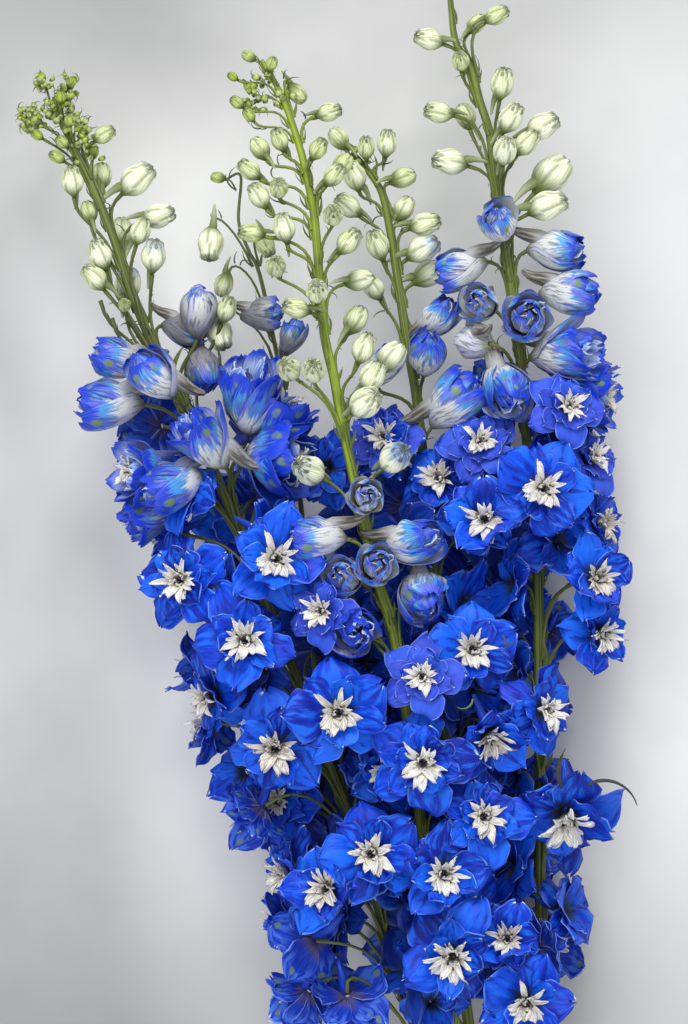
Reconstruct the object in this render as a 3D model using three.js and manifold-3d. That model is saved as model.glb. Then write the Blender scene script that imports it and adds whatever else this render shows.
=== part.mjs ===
// A cut bunch of delphinium, lying on its side: four tall flowering stems, tied near their cut ends.
// Millimetres. +Y runs from the cut ends to the tips, +Z is up, and z = 0 is what the bunch lies on.

import * as THREE from 'three';
import { mergeVertices } from 'three/addons/utils/BufferGeometryUtils.js';
import Module from 'manifold-3d';

const wasm = await Module();
wasm.setup();
const { Manifold, Mesh: SolidMesh } = wasm;

// ---------------------------------------------------------------- driving dimensions

const bunchMiddle = [-8, -95, 0]; // the middle of the bunch, which is moved to the origin
const stemFootRadius = 3.3;
const stemTipRadius = 0.9;
const stemTaper = 0.45; // below 1, a stem thickens soon below its tip
const shootRadius = 1.5;
const shootPedicelRun = 0.6; // as a plant's pedicel run, for its side shoot
const stemSteps = 14;
const pedicelRadius = 1.0;
const bractRadius = 1.4;
const petalThickness = 1.0;
const cupDepth = 0.78; // of a half-open floret, as a share of its width
const starDepth = 0.09; // the same from an open floret's middle to its back
const gap = 0.35; // between neighbours that touch
const tieWidth = 9;
const tieThickness = 1.65;
const tieHeight = 9.2; // of its middle above the surface
const tiePlace = -400; // along the stems
const smallestPiece = 120; // mm³: a smaller scrap, cut off by a neighbour, is dropped

const green = { color: 0x7f9a3c, roughness: 0.6, metalness: 0 };
const blue = { color: 0x1a3bd6, roughness: 0.55, metalness: 0 };
const twine = { color: 0xb79b6c, roughness: 0.9, metalness: 0 };

// ---------------------------------------------------------------- the four stems
// Each stem's points run from its tip to its cut end. A bud is its middle's x and y, its length, and,
// where it doesn't simply point up and away from the stem, the turn of its point from +Y towards +X
// and the rise of its point from the surface, in degrees. A cup is a half-open floret, and a star an
// open one: the middle of its mouth, its width, and the direction that it faces. A bract is the place of
// its foot along the stem, its length and the lean of its tip. A plant's pedicel run says how far its
// pedicels go along the stem for each millimetre that they reach out from it.

const leftPlant = {
  name: 'left',
  stem: [
    [-146, 208.5, 46], [-142, 196, 50], [-134.5, 181, 52], [-126, 163.5, 53], [-116, 138.5, 54],
    [-107, 111, 55], [-94.5, 81, 56], [-72, 36, 56], [-54.5, -4, 55], [-34.5, -54, 53], [-12, -114, 50],
    [10.5, -174, 45], [28, -236.5, 37], [55, -310, 23], [83.8, -385, 6.6], [86.2, -400, 5.4],
    [88.2, -415, 4.8], [97, -466, 3.3],
  ],
  shoot: [
    [-60, 167, 44], [-52, 169, 45], [-53, 146.5, 46], [-48, 131.5, 47], [-41.5, 116, 47],
    [-29.5, 56, 46], [-22, 6, 44], [-16, -60, 46], [-12.5, -112, 50],
  ],
  buds: [
    [-152, 218.5, 6], [-137, 215.5, 7], [-142, 207.5, 7], [-155, 196, 9], [-153.5, 188.5, 7],
    [-137.5, 195.5, 7], [-131, 191, 8], [-141, 185, 8], [-143.5, 177.5, 9], [-126.5, 181, 9],
    [-120.5, 188.5, 12, 60], [-136, 165, 15, -5], [-122, 168.5, 14, 0], [-104, 165.5, 20, 50],
    [-93.5, 147.5, 17, 75], [-112, 140, 16, 0], [-101.5, 139.5, 14, 20], [-122, 128, 16, -20],
    [-124.5, 116.5, 15, -40], [-95, 127, 17, 5], [-108.5, 113.5, 18, 5], [-109.5, 103, 9, 0, 70],
    [-59, 100.5, 14, 20],
  ],
  shootBuds: [
    [-63, 168, 8, -80], [-67, 135.5, 18, 185], [-40, 134, 13, 150], [-60, 115, 13, 200],
    [-63, 90.5, 18, 160],
  ],
  cups: [
    [-72, 108, 66, 23, 0.05, 1, 0.15], [-119, 80, 62, 23, -0.85, 0.35, 0.3],
    [-102, 75, 84, 26, -0.9, 0.35, 0], [-129, 50, 70, 28, -0.97, 0, 0.25],
    [-76, 38, 88, 31, -0.9, 0.25, 0.2], [-112, 21, 74, 30, -0.95, -0.1, 0.3],
    [-93, 9.5, 88, 32, -0.93, -0.35, 0.05], [-104, -4, 64, 28, -0.85, -0.45, 0.15],
    [-28, 58, 66, 28, 0.45, 0.85, 0], [-20, 24, 76, 32, 0.9, -0.15, 0.2],
  ],
  stars: [
    [-48, 72, 80, 44, 0.1, 0.95, 0.25], [-82, -34, 86, 48, -0.72, 0, 0.7],
    [-34, -23.5, 104, 51, 0.05, 0.1, 1], [-48, -63.5, 102, 51, -0.1, 0.05, 1],
    [-33, -116.5, 98, 51, -0.15, -0.05, 1], [-76, -93, 70, 42, -0.85, -0.2, 0.35],
    [-50, -156, 68, 46, -0.6, -0.55, -0.45], [14, -169, 100, 50, -0.1, 0.1, 1],
    [-7, -187, 90, 46, -0.5, 0.15, 0.8], [-30, -178, 66, 42, -0.8, -0.1, 0.4],
    [-20, -213, 72, 54, -0.5, 0.05, -0.8], [2, -243, 66, 44, 0.1, -0.7, -0.55],
    [-58, -108, 44, 44, -0.9, 0.2, -0.3], [-100, -8, 46, 44, -0.9, 0.2, -0.35],
    [-78, -60, 46, 46, -0.95, -0.05, -0.25], [-36, -204, 44, 42, -0.85, -0.2, -0.35],
    [-27, -243, 56, 42, -0.5, -0.5, -0.6],
  ],
  bracts: [[58, 26, -0.5, 0.2], [-232, 30, -0.6, 0.3]],
  under: { from: 44, to: -222, count: 8, reach: 42, width: 56 },
  pedicelRun: 1.25,
};

const frontPlant = {
  name: 'front',
  stem: [
    [-41, 225, 76], [-34, 213, 78], [-28, 199.5, 80], [-22.5, 183, 82], [-19, 169.5, 84],
    [-15, 149, 85], [-13, 128, 86], [-10, 90, 87], [-5, 67, 88], [-1.5, 48, 88], [4, 21, 87],
    [11.5, -10.5, 86], [18, -39, 84], [23.5, -55.5, 82], [30.5, -94, 77], [40.5, -169, 63],
    [53, -244, 47], [68, -310, 33], [84.4, -385, 14.6], [86.2, -400, 13], [86.8, -415, 12.2],
    [88.5, -474, 8.8],
  ],
  buds: [
    [-47, 226.5, 8, -60], [-36, 222, 8, 20], [-55, 216, 6, -60], [-47, 211, 7, -40], [-53, 203, 8, -50],
    [-47, 196.5, 8, -40], [-24, 209, 12, 140], [-32, 184, 12, -20], [-8, 198, 13, 75],
    [-41.5, 180, 13, -30], [-46.5, 169, 13, -50], [-42, 156, 14, -30], [-32.5, 160, 13, 0, 60],
    [-45.5, 137.5, 13, -80], [-29.5, 140, 15, -10], [-33.5, 121, 14, 0, 65], [-13, 179, 12, 30],
    [-5, 166, 13, 40], [-5.5, 146, 14, 0, 65], [2, 133, 15, 40], [7, 115, 15, 75],
    [-13.5, 108, 15, 0, 60], [-23, 100, 14, -75], [5.5, 95, 16, 30], [9.5, 80, 16, 20],
    [14, 66, 17, 30], [23, 76, 18, 40], [-27, 70, 16, -40, 60], [-15, 69, 16, 0, 65],
    [10, 53, 20, 50, 45], [-18, 23, 20, -60, 50], [24.5, 26, 20, 50, 50],
  ],
  cups: [
    [11.5, 8, 106, 20, 0.05, 0.1, 1], [-20, -11, 104, 23, -0.97, 0.1, 0.2],
    [17, -25, 112, 23, 0.1, 0.2, 1], [40, -12, 104, 25, 0.8, 0.3, 0.4],
    [-2, -31, 104, 22, -0.3, 0.1, 0.9], [6.5, -59, 112, 29, 0.1, -0.1, 1],
    [41, -46, 98, 26, 0.3, -0.5, 0.75],
  ],
  stars: [
    [-10, -49, 104, 38, -0.45, 0.1, 0.9], [-2.5, -99, 110, 52, -0.1, 0.05, 1],
    [38.5, -81, 114, 39, 0, 0, 1], [38.5, -123, 110, 50, 0.1, -0.1, 1],
    [49, -178.5, 100, 47, 0.1, 0, 1], [54, -219, 92, 52, -0.1, -0.2, 1],
  ],
  pedicelRun: 0.6,
};

const middlePlant = {
  name: 'middle',
  stem: [
    [4, 181, 46], [10, 174, 47], [18.5, 161.5, 48], [22.5, 145, 48], [26.5, 120, 49], [31.5, 86, 49],
    [35.5, 63.5, 48], [38.5, 40.5, 47], [43, -4, 46], [48, -69, 43], [54, -144, 38], [58, -219, 32],
    [72, -310, 18], [92, -385, 6.6], [93.8, -400, 5.4], [95.4, -415, 4.8], [106, -462, 3.3],
  ],
  buds: [
    [-2.5, 187, 13, -35], [11, 182, 12, 0], [21.5, 184.5, 14, 5], [29, 167.5, 14, 70],
    [5, 168, 16, -20], [2.5, 153, 15, -50], [30, 152, 14, 30], [40, 144, 16, 75], [39, 131, 18, 60],
    [42, 119, 18, 60], [17, 133, 16, -20], [15, 112, 14, -30],
  ],
  cups: [
    [43, 84, 66, 21, 0.15, 0.8, 0.6], [50, 102, 58, 19, 0.5, 0.8, 0.3],
    [61, 61, 72, 27, 0.6, 0.65, 0.15],
  ],
  stars: [
    [20, 36.5, 64, 38, -0.2, 0.35, 0.9], [67, 34, 78, 38, 0.1, 0.35, 0.9],
    [48, 16, 66, 42, -0.2, 0.3, 0.9], [69.5, -4, 92, 46, 0.05, 0.15, 1],
    [63.5, -68.5, 96, 46, 0.05, 0.1, 1], [71.5, -109.5, 94, 44, 0.3, -0.5, 0.8],
    [68.5, -151, 98, 47, 0.15, 0.1, 1], [24, -128, 84, 44, -0.2, -0.2, 1],
  ],
  under: { from: 4, to: -196, count: 6, reach: 30, width: 54 },
  pedicelRun: 0.9,
};

const rightPlant = {
  name: 'right',
  stem: [
    [51.5, 281, 54], [53.5, 254.5, 56], [56, 235.5, 57], [63.5, 223, 57], [68, 206, 57],
    [73, 189.5, 57], [76, 165, 57], [80.5, 136, 57], [88, 79.5, 56], [91, 42.5, 55], [94.5, 6, 54],
    [97, -24, 53], [98, -94, 50], [99, -194, 43], [100.5, -244, 39], [100, -310, 28],
    [94.6, -385, 14.6], [93.8, -400, 13], [94, -415, 12.4], [96.5, -470, 11.2],
  ],
  buds: [
    [46, 280, 6, -60], [57.5, 277, 7, 40], [59, 266, 8, 50], [66, 244.5, 12, 40], [76, 248, 13, 60],
    [43, 236, 15, -75], [58, 224.5, 12, -10, 50], [79, 213, 16, 10], [48, 199.5, 15, -80],
    [61, 198, 14, -20], [83, 195.5, 16, 30], [98.5, 192, 18, 60], [80, 179, 16, 10, 40],
    [91, 183.5, 15, 40], [53.5, 174.5, 18, -80], [103.5, 168, 24, 45], [101, 152, 20, 70],
  ],
  cups: [
    [76.5, 147, 80, 21, -0.15, 0.5, 0.9], [113, 132, 62, 23, 0.98, 0.05, 0.15],
    [120, 109, 66, 24, 0.98, 0, 0.15], [91.5, 98, 86, 27, 0.05, 0.2, 1],
    [118, 80, 74, 29, 0.85, 0.1, 0.4], [135, 58, 60, 27, 0.95, -0.05, 0.2],
    [82, 57, 84, 28, 0.25, -0.6, 0.75], [52, 121, 62, 22, -0.9, -0.2, 0.2],
    [66, 105, 74, 21, -0.35, 0.1, 0.95], [61, 86, 60, 22, -0.5, 0.1, -0.75],
  ],
  stars: [
    [110, 52, 84, 38, 0.45, 0.15, 0.9], [98, 11, 98, 50, 0.05, 0.1, 1],
    [127, 26, 66, 40, 0.75, 0.3, 0.5], [126, -6, 58, 42, 0.8, 0.1, 0.4],
    [124, -33, 84, 43, 0.5, 0.05, 0.9], [127, -60, 74, 40, 0.6, -0.2, 0.8],
    [95.5, -96, 92, 40, 0.7, 0.1, 0.7], [114, -150, 86, 58, 0.1, -0.6, 0.8],
    [88.5, -211.5, 88, 45, -0.1, 0.1, 1], [90, -243, 84, 47, 0.1, -0.2, 1],
    [118, -208, 58, 42, 0.75, 0.2, -0.5], [124, -96, 52, 44, 0.9, -0.1, -0.3],
    [136, -34, 46, 42, 0.85, 0.1, -0.4], [126, 44, 42, 42, 0.85, 0.25, -0.4],
    [124, -150, 46, 44, 0.85, 0.05, -0.4],
  ],
  bracts: [[-88, 32, 0.5, 0.3], [-222, 34, -0.1, 0.5], [-132, 44, 0.7, 0.5]],
  under: { from: 60, to: -222, count: 8, reach: 42, width: 56 },
  pedicelRun: 0.95,
};

const plants = [frontPlant, rightPlant, leftPlant, middlePlant];

// ---------------------------------------------------------------- helpers

const vec = (x, y, z) => new THREE.Vector3(x, y, z);
const degrees = THREE.MathUtils.degToRad;

/** A repeatable draw from 0 to 1. */
function draws(seed) {
  let state = seed;
  return () => {
    state = (state * 16807) % 2147483647;
    return state / 2147483647;
  };
}

/** A solid from points and the triangles between them, turned right side out. */
function solidOf(points, triangles) {
  const flat = Float32Array.from(points.flatMap((p) => p.toArray()));
  const make = (faces) => new Manifold(new SolidMesh({
    numProp: 3,
    vertProperties: flat,
    triVerts: Uint32Array.from(faces.flat()),
  }));
  const solid = make(triangles);
  return solid.volume() < 0 ? make(triangles.map(([a, b, c]) => [a, c, b])) : solid;
}

function union(solids) {
  return solids.reduce((whole, solid) => whole.add(solid));
}

/** Two directions square to the given one. */
function squareTo(direction, hint = vec(0, 0, 1)) {
  const start = Math.abs(direction.dot(hint)) > 0.9 ? vec(1, 0, 0) : hint;
  const across = start.clone().cross(direction).normalize();
  return [across, direction.clone().cross(across)];
}

/** A point on a stem at the given place along Y. */
function pointAt(path, y) {
  const next = path.findIndex((p) => p.y <= y);
  if (next < 1) return (next === 0 ? path[0] : path.at(-1)).clone();
  const [a, b] = [path[next - 1], path[next]];
  return a.clone().lerp(b, (a.y - y) / (a.y - b.y));
}

/** The smooth path through a stem's points, as short straight steps. */
function smoothPath(points, steps) {
  const curve = new THREE.CatmullRomCurve3(points.map((p) => vec(...p)), false, 'catmullrom', 0.5);
  return curve.getPoints(steps);
}

// ---------------------------------------------------------------- stalks, buds and bracts

/** A closed body through stations, each a middle, a direction and a radius. A radius of 0 is a point. */
function loft(stations, sides) {
  const points = [];
  const rows = [];
  let [across] = squareTo(stations[0].along);
  stations.forEach(({ at, along, radius }) => {
    across = across.clone().addScaledVector(along, -across.dot(along)).normalize();
    const over = along.clone().cross(across);
    const corners = radius === 0 ? 1 : sides;
    rows.push(Array.from({ length: corners }, (_, side) => points.length + side));
    for (let side = 0; side < corners; side += 1) {
      const turn = (side / sides) * 2 * Math.PI;
      points.push(at.clone()
        .addScaledVector(across, radius * Math.cos(turn))
        .addScaledVector(over, radius * Math.sin(turn)));
    }
  });
  const triangles = [];
  rows.slice(1).forEach((row, index) => {
    const before = rows[index];
    for (let side = 0; side < sides; side += 1) {
      const next = (side + 1) % sides;
      if (before.length > 1) triangles.push([before[side], before[next], row[side % row.length]]);
      if (row.length > 1) triangles.push([before[next % before.length], row[next], row[side]]);
    }
  });
  const start = rows[0];
  for (let side = 1; side < start.length - 1; side += 1) {
    triangles.push([start[0], start[side + 1], start[side]]);
  }
  const end = rows.at(-1);
  for (let side = 1; side < end.length - 1; side += 1) {
    triangles.push([end[0], end[side], end[side + 1]]);
  }
  return solidOf(points, triangles);
}

/** The stations of a stalk along a path, its radius going from the first to the last by a power. */
function stalkStations(path, firstRadius, lastRadius, sides, extra, taper = 1) {
  const last = path.length - 1;
  const spread = extra / Math.cos(Math.PI / sides);
  return path.map((at, index) => {
    const along = path[Math.min(index + 1, last)].clone().sub(path[Math.max(index - 1, 0)]).normalize();
    const longer = index === 0 ? -extra : index === last ? extra : 0;
    const radius = THREE.MathUtils.lerp(firstRadius, lastRadius, (index / last) ** taper) + spread;
    return { at: at.clone().addScaledVector(along, longer), along, radius };
  });
}

/** A stalk along a path; extra sets its surface out. */
function stalk(path, firstRadius, lastRadius, sides, extra = 0, taper = 1) {
  return loft(stalkStations(path, firstRadius, lastRadius, sides, extra, taper), sides);
}

/** Makes stations at heights from a middle along an axis. */
function stationsAlong(at, axis) {
  return (height, radius) => ({
    at: at.clone().addScaledVector(axis, height),
    along: axis,
    radius,
  });
}

/** The stations of a bud, from its neck to its point. */
function budStations(at, axis, length, neckRadius, extra) {
  const wide = length * 0.33 + extra * 1.4;
  const station = stationsAlong(at, axis);
  const belly = length < 10
    ? [station(length * 0.05, wide * 1.1)]
    : [station(-length * 0.16, wide), station(length * 0.27, wide * 0.85)];
  return [station(-length / 2, neckRadius + extra * 1.4), ...belly, station(length / 2 + extra, 0)];
}

/** A bud on its pedicel. One that hangs has its pedicel joined on behind. */
function budOnPedicel({ at, axis, length, root }, extra = 0) {
  const neck = at.clone().addScaledVector(axis, -length / 2);
  const radius = pedicelRadius * (length < 10 ? 0.8 : 1);
  const inLine = neck.clone().sub(root).normalize().dot(axis) > 0.3;
  const sides = length < 14.5 ? 3 : 4;
  const way = length < 18 ? [root, neck] : pedicelPath(root, neck);
  const stem = stalkStations(way, radius * 1.2, radius, sides, extra);
  const head = budStations(at, axis, length, radius, extra);
  if (inLine) return loft([...stem.slice(0, -1), ...head], sides);
  return loft(stem, sides).add(loft(head, sides));
}

/** The way from a stem to a bud or floret: out of the stem and then up. */
function pedicelPath(root, end) {
  const middle = root.clone().lerp(end, 0.5);
  middle.y -= root.distanceTo(end) * 0.1;
  return [root, middle, end];
}

/** A narrow leaf-like bract: the place of its foot along the stem, its length, and the way it leans. */
function bract(path, [y, length, leanX, leanZ], extra = 0) {
  const foot = pointAt(path, y);
  const lift = vec(leanX, 0.9, leanZ).normalize();
  const tip = foot.clone().addScaledVector(lift, length);
  const waist = foot.clone().addScaledVector(lift, length * 0.5);
  waist.y -= length * 0.08;
  return stalk([foot, waist, tip], bractRadius, bractRadius * 0.4, 3, extra);
}

// ---------------------------------------------------------------- florets

/** A half-open floret on its pedicel: five sepals still cupped round a hollow mouth. */
function cupOnPedicel(path, [x, y, z, width, fx, fy, fz], extra = 0) {
  const axis = vec(fx, fy, fz).normalize();
  const at = vec(x, y, z);
  const half = width / 2 + extra * 1.4;
  const station = stationsAlong(at, axis);
  const neck = station(-width * cupDepth, pedicelRadius + extra * 1.3);
  const cup = [
    neck,
    station(-width * 0.48, half * 0.86),
    station(extra, half * 0.96),
    station(-width * 0.3 + extra * 1.6, 0),
  ];
  const root = floretRoot(path, at, neck.at);
  const [foot, top] = stalkStations([root, neck.at], pedicelRadius * 1.3, pedicelRadius, 5, extra);
  if (top.along.dot(axis) > 0.3) return loft([foot, ...cup], 5);
  return loft([foot, top], 5).add(loft(cup, 5));
}

/**
 * An open floret in one body. Its five sepals make the rim, every other one a little further back.
 * Shorter petals rise inside them, over the notches, and the bee is the point at the middle. A plain
 * one has no inner petals.
 */
function starFloret([x, y, z, width, fx, fy, fz], extra = 0, plain = false) {
  const axis = vec(fx, fy, fz).normalize();
  const [across, over] = squareTo(axis);
  const lobes = 5;
  const spin = (((x * 13 + y * 7) % 100) / 100) * 2 * Math.PI;
  const points = [];
  const put = (step, radius, height) => {
    const turn = spin + (step / lobes) * 2 * Math.PI;
    points.push(vec(x, y, z)
      .addScaledVector(axis, height)
      .addScaledVector(across, radius * Math.cos(turn))
      .addScaledVector(over, radius * Math.sin(turn)));
    return points.length - 1;
  };
  const half = width / 2 + extra;
  const lift = extra * 1.3;
  const steps = Array.from({ length: lobes }, (_, lobe) => lobe);
  const triangles = [];

  // The rim: a notch and two corners for each lobe, each with a point above and one below.
  const rim = steps.flatMap((lobe) => {
    const height = width * (0.1 + (lobe % 2 ? 0.05 : -0.03));
    return [[lobe, half * 0.7, width * 0.08], [lobe + 0.31, half, height], [lobe + 0.69, half, height]];
  });
  const tops = rim.map(([step, radius, height]) => put(step, radius, height + petalThickness / 2 + lift));
  const unders = rim.map(([step, radius, height]) => put(step, radius, height - petalThickness / 2 - lift));
  const back = put(0, 0, -width * starDepth - extra);
  tops.forEach((top, step) => {
    const next = (step + 1) % tops.length;
    triangles.push([top, unders[step], tops[next]], [unders[step], unders[next], tops[next]]);
    triangles.push([back, unders[next], unders[step]]);
  });

  // The bee and the valley round it.
  const bee = put(0, 0, width * 0.13 + lift);
  const valley = steps.map((lobe) => put(lobe, width * 0.11, lift));
  steps.forEach((lobe) => triangles.push([bee, valley[lobe], valley[(lobe + 1) % lobes]]));

  // The inner petals rise over the notches, and the front of each lobe runs from them to the rim.
  const low = plain ? valley : steps.map((lobe) => put(lobe, width * 0.26, width * 0.05 + lift));
  const between = steps.map((lobe) => put(lobe + 0.5, width * 0.19, width * 0.02 + lift));
  const tips = plain ? [] : steps.map((lobe) => put(lobe, width * 0.29 + extra, width * 0.17 + lift));
  steps.forEach((lobe) => {
    const next = (lobe + 1) % lobes;
    const corner = (step) => tops[(lobe * 3 + step) % tops.length];
    const [notch, first, second, nextNotch] = [0, 1, 2, 3].map(corner);
    triangles.push([valley[lobe], between[lobe], valley[next]]);
    triangles.push([low[lobe], notch, first], [low[lobe], first, between[lobe]]);
    triangles.push([between[lobe], first, second], [between[lobe], second, low[next]]);
    triangles.push([low[next], second, nextNotch]);
    if (plain) return;
    triangles.push([valley[lobe], tips[lobe], between[lobe]], [valley[next], between[lobe], tips[next]]);
    triangles.push([tips[lobe], low[lobe], between[lobe]], [tips[next], between[lobe], low[next]]);
  });
  return solidOf(points, triangles);
}

// ---------------------------------------------------------------- one flowering stem

/** How far a bud stands from its stem: less and less towards the tip. */
function budReach(plant, y) {
  return Math.min(6 + (plant.stem[0][1] - y) * 0.13, 26);
}

/** A bud's middle, its axis and the foot of its pedicel, from its row and its stem. */
function placeBud(plant, path, row, index) {
  const [x, y, length, turn, rise] = row;
  const reach = budReach(plant, y);
  const root = pointAt(path, y - reach * plant.pedicelRun - length * 0.35);
  const aside = x - root.x;
  const depth = Math.sqrt(Math.max(reach * reach - aside * aside, reach * reach * 0.12));
  const side = rise !== undefined || index % 3 ? 1 : -1;
  const at = vec(x, y, root.z + side * depth);
  const lean = degrees(turn ?? THREE.MathUtils.clamp(aside * 4, -60, 60));
  const lift = degrees(rise ?? side * 22);
  const axis = vec(Math.sin(lean) * Math.cos(lift), Math.cos(lean) * Math.cos(lift), Math.sin(lift));
  return { at, axis, length, root };
}

function budSolids(plant, path, rows, extra) {
  return rows.map((row, index) => budOnPedicel(placeBud(plant, path, row, index), extra));
}

/** The florets on a stem's underside, which it lies on: a rule in place of a list. */
function underRows(plant, path) {
  if (!plant.under) return [];
  const { from, to, count, reach, width } = plant.under;
  const draw = draws(Math.round(7 + reach * 3 + count + from));
  return Array.from({ length: count }, (_, index) => {
    const y = from + ((to - from) * index) / (count - 1);
    const swing = degrees((index % 2 ? 20 : -20) + (draw() - 0.5) * 8);
    const stem = pointAt(path, y);
    const out = vec(Math.sin(swing), 0.12, -Math.cos(swing));
    const depth = Math.min(reach, (stem.z - 13) / Math.cos(swing));
    return [stem.x + out.x * depth, y, stem.z + out.z * depth, width, out.x, out.y, out.z];
  });
}

/** The foot of a floret's pedicel on the stem, below the floret and behind it. */
function floretRoot(path, at, floretBack) {
  const stem = pointAt(path, at.y);
  const across = Math.hypot(at.x - stem.x, at.z - stem.z);
  const drop = THREE.MathUtils.clamp(across * 0.75, 12, 34);
  return pointAt(path, Math.min(at.y, floretBack.y) - drop);
}

/** A floret's pedicel, whose end lies in line with the floret and just behind it. */
function pedicelTo(path, [x, y, z, width, fx, fy, fz], backShare, extra) {
  const axis = vec(fx, fy, fz).normalize();
  const at = vec(x, y, z);
  const back = at.clone().addScaledVector(axis, -width * backShare - gap * 1.2);
  const neck = back.clone().addScaledVector(axis, -pedicelRadius * 3);
  const root = floretRoot(path, at, back);
  const stations = stalkStations([root, neck], pedicelRadius * 1.3, pedicelRadius, 3, extra);
  const end = { at: back.clone().addScaledVector(axis, extra), along: axis, radius: stations[1].radius };
  return loft([stations[0], { ...stations[1], at: neck }, end], 3);
}

/** All that grows on one stem up to its open florets: side shoot, pedicels, buds and half-open florets. */
function greenSolid(plant, extra = 0) {
  const path = smoothPath(plant.stem, stemSteps);
  const parts = [stalk(path, stemTipRadius, stemFootRadius, 5, extra, stemTaper)];
  parts.push(...budSolids(plant, path, plant.buds, extra));
  plant.cups.forEach((row) => parts.push(cupOnPedicel(path, row, extra)));
  const open = [...plant.stars, ...underRows(plant, path)];
  open.forEach((row) => parts.push(pedicelTo(path, row, starDepth, extra)));
  (plant.bracts ?? []).forEach((row) => parts.push(bract(path, row, extra)));
  if (plant.shoot) {
    const shoot = smoothPath(plant.shoot, 9);
    parts.push(stalk(shoot, stemTipRadius * 0.7, shootRadius, 4, extra));
    const sidePlant = { stem: plant.shoot, pedicelRun: shootPedicelRun };
    parts.push(...budSolids(sidePlant, shoot, plant.shootBuds, extra));
  }
  return union(parts);
}

/** The open florets of one plant, as one solid each. */
function floretSolids(plant, extra = 0) {
  const path = smoothPath(plant.stem, stemSteps);
  return [
    ...plant.stars.map((row) => starFloret(row, extra)),
    ...underRows(plant, path).map((row) => starFloret(row, extra, true)),
  ];
}

// ---------------------------------------------------------------- the tie

/** The flat twine binding: a rounded square ring round the four stems. */
function tieGeometry() {
  const inner = 3.8 + stemFootRadius + gap + 0.1;
  const corner = stemFootRadius + gap;
  const outline = (size, radius, Shape) => {
    const shape = new Shape();
    shape.moveTo(size, -size + radius);
    shape.lineTo(size, size - radius);
    shape.absarc(size - radius, size - radius, radius, 0, Math.PI / 2);
    shape.absarc(-size + radius, size - radius, radius, Math.PI / 2, Math.PI);
    shape.absarc(-size + radius, -size + radius, radius, Math.PI, Math.PI * 1.5);
    shape.absarc(size - radius, -size + radius, radius, Math.PI * 1.5, Math.PI * 2);
    return shape;
  };
  const ring = outline(inner + tieThickness, corner + tieThickness, THREE.Shape);
  ring.holes.push(outline(inner, corner, THREE.Path));
  const cut = { depth: tieWidth, bevelEnabled: false, curveSegments: 2 };
  const geometry = new THREE.ExtrudeGeometry(ring, cut);
  geometry.rotateX(Math.PI / 2);
  return geometry.translate(90, tiePlace + tieWidth / 2, tieHeight);
}

// ---------------------------------------------------------------- putting the bunch together

/** A closed three.js geometry as a solid, its shared corners merged. */
function solidFromGeometry(geometry) {
  const plain = geometry.clone();
  plain.deleteAttribute('normal');
  plain.deleteAttribute('uv');
  const merged = mergeVertices(plain, 1e-4);
  return new Manifold(new SolidMesh({
    numProp: 3,
    vertProperties: Float32Array.from(merged.attributes.position.array),
    triVerts: Uint32Array.from(merged.index.array),
  }));
}

/** The largest connected body of a solid. */
function largest(solid) {
  const bodies = solid.decompose();
  return bodies.reduce((best, body) => (body.volume() > best.volume() ? body : best));
}

function touching(one, other) {
  const [a, b] = [one.boundingBox(), other.boundingBox()];
  return [0, 1, 2].every((axis) => a.min[axis] < b.max[axis] && b.min[axis] < a.max[axis]);
}

function meshOf(name, solid, finish) {
  const { numProp, vertProperties, triVerts } = solid.getMesh();
  const geometry = new THREE.BufferGeometry();
  const corners = new Float32Array((vertProperties.length / numProp) * 3);
  for (let index = 0; index < corners.length / 3; index += 1) {
    corners.set(vertProperties.slice(index * numProp, index * numProp + 3), index * 3);
  }
  geometry.setAttribute('position', new THREE.BufferAttribute(corners, 3));
  geometry.setIndex(new THREE.BufferAttribute(Uint32Array.from(triVerts), 1));
  geometry.computeVertexNormals();
  const mesh = new THREE.Mesh(geometry, new THREE.MeshStandardMaterial(finish));
  mesh.name = name;
  return mesh;
}

const above = new THREE.BoxGeometry(900, 1400, 400).translate(0, 0, 200);
const aboveSurface = solidFromGeometry(above);
const bunch = new THREE.Group();
bunch.position.set(-bunchMiddle[0], -bunchMiddle[1], 0);

// The green bodies come first, each clear of those before it.
const greens = [];
const greenRooms = [];
plants.forEach((plant) => {
  const whole = greenRooms.reduce((left, room) => left.subtract(room), greenSolid(plant));
  greens.push(largest(whole.intersect(aboveSurface)));
  greenRooms.push(greenSolid(plant, gap));
  bunch.add(meshOf(`${plant.name}_stem`, greens.at(-1), green));
});

// Each floret is cut back from the stalks and from the florets of the other plants before it. Those of
// one plant that touch are one body.
const earlier = [];
plants.forEach((plant) => {
  const rooms = floretSolids(plant, gap);
  const cut = floretSolids(plant).map((floret) => {
    const near = [...greenRooms, ...earlier].filter((room) => touching(room, floret));
    return largest(near.reduce((left, room) => left.subtract(room), floret.intersect(aboveSurface)));
  });
  earlier.push(...rooms);
  union(cut).decompose()
    .filter((body) => body.volume() > smallestPiece)
    .sort((one, other) => other.boundingBox().max[1] - one.boundingBox().max[1])
    .forEach((body, index) => bunch.add(meshOf(`${plant.name}_florets_${index + 1}`, body, blue)));
});

const tie = greenRooms.reduce((left, room) => left.subtract(room), solidFromGeometry(tieGeometry()));
bunch.add(meshOf('tie', tie, twine));

export default bunch;
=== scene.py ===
# %% [markdown]
# # A cut bunch of delphinium
# Four tall flowering stems, cut for a vase, are tied near their feet and lie on a table with their tips
# away from us. The imported model gives the true sizes and the place of every stem and floret. This
# notebook puts the fine surfaces round it: petals, bees, stamens, buds, stalks and twine.
# We load the frame first and keep its box, because what is made here is eased down to a little above its top.

# %% Load the frame
import math
import random

import bpy
import numpy as np
from mathutils import Matrix, Vector


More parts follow.
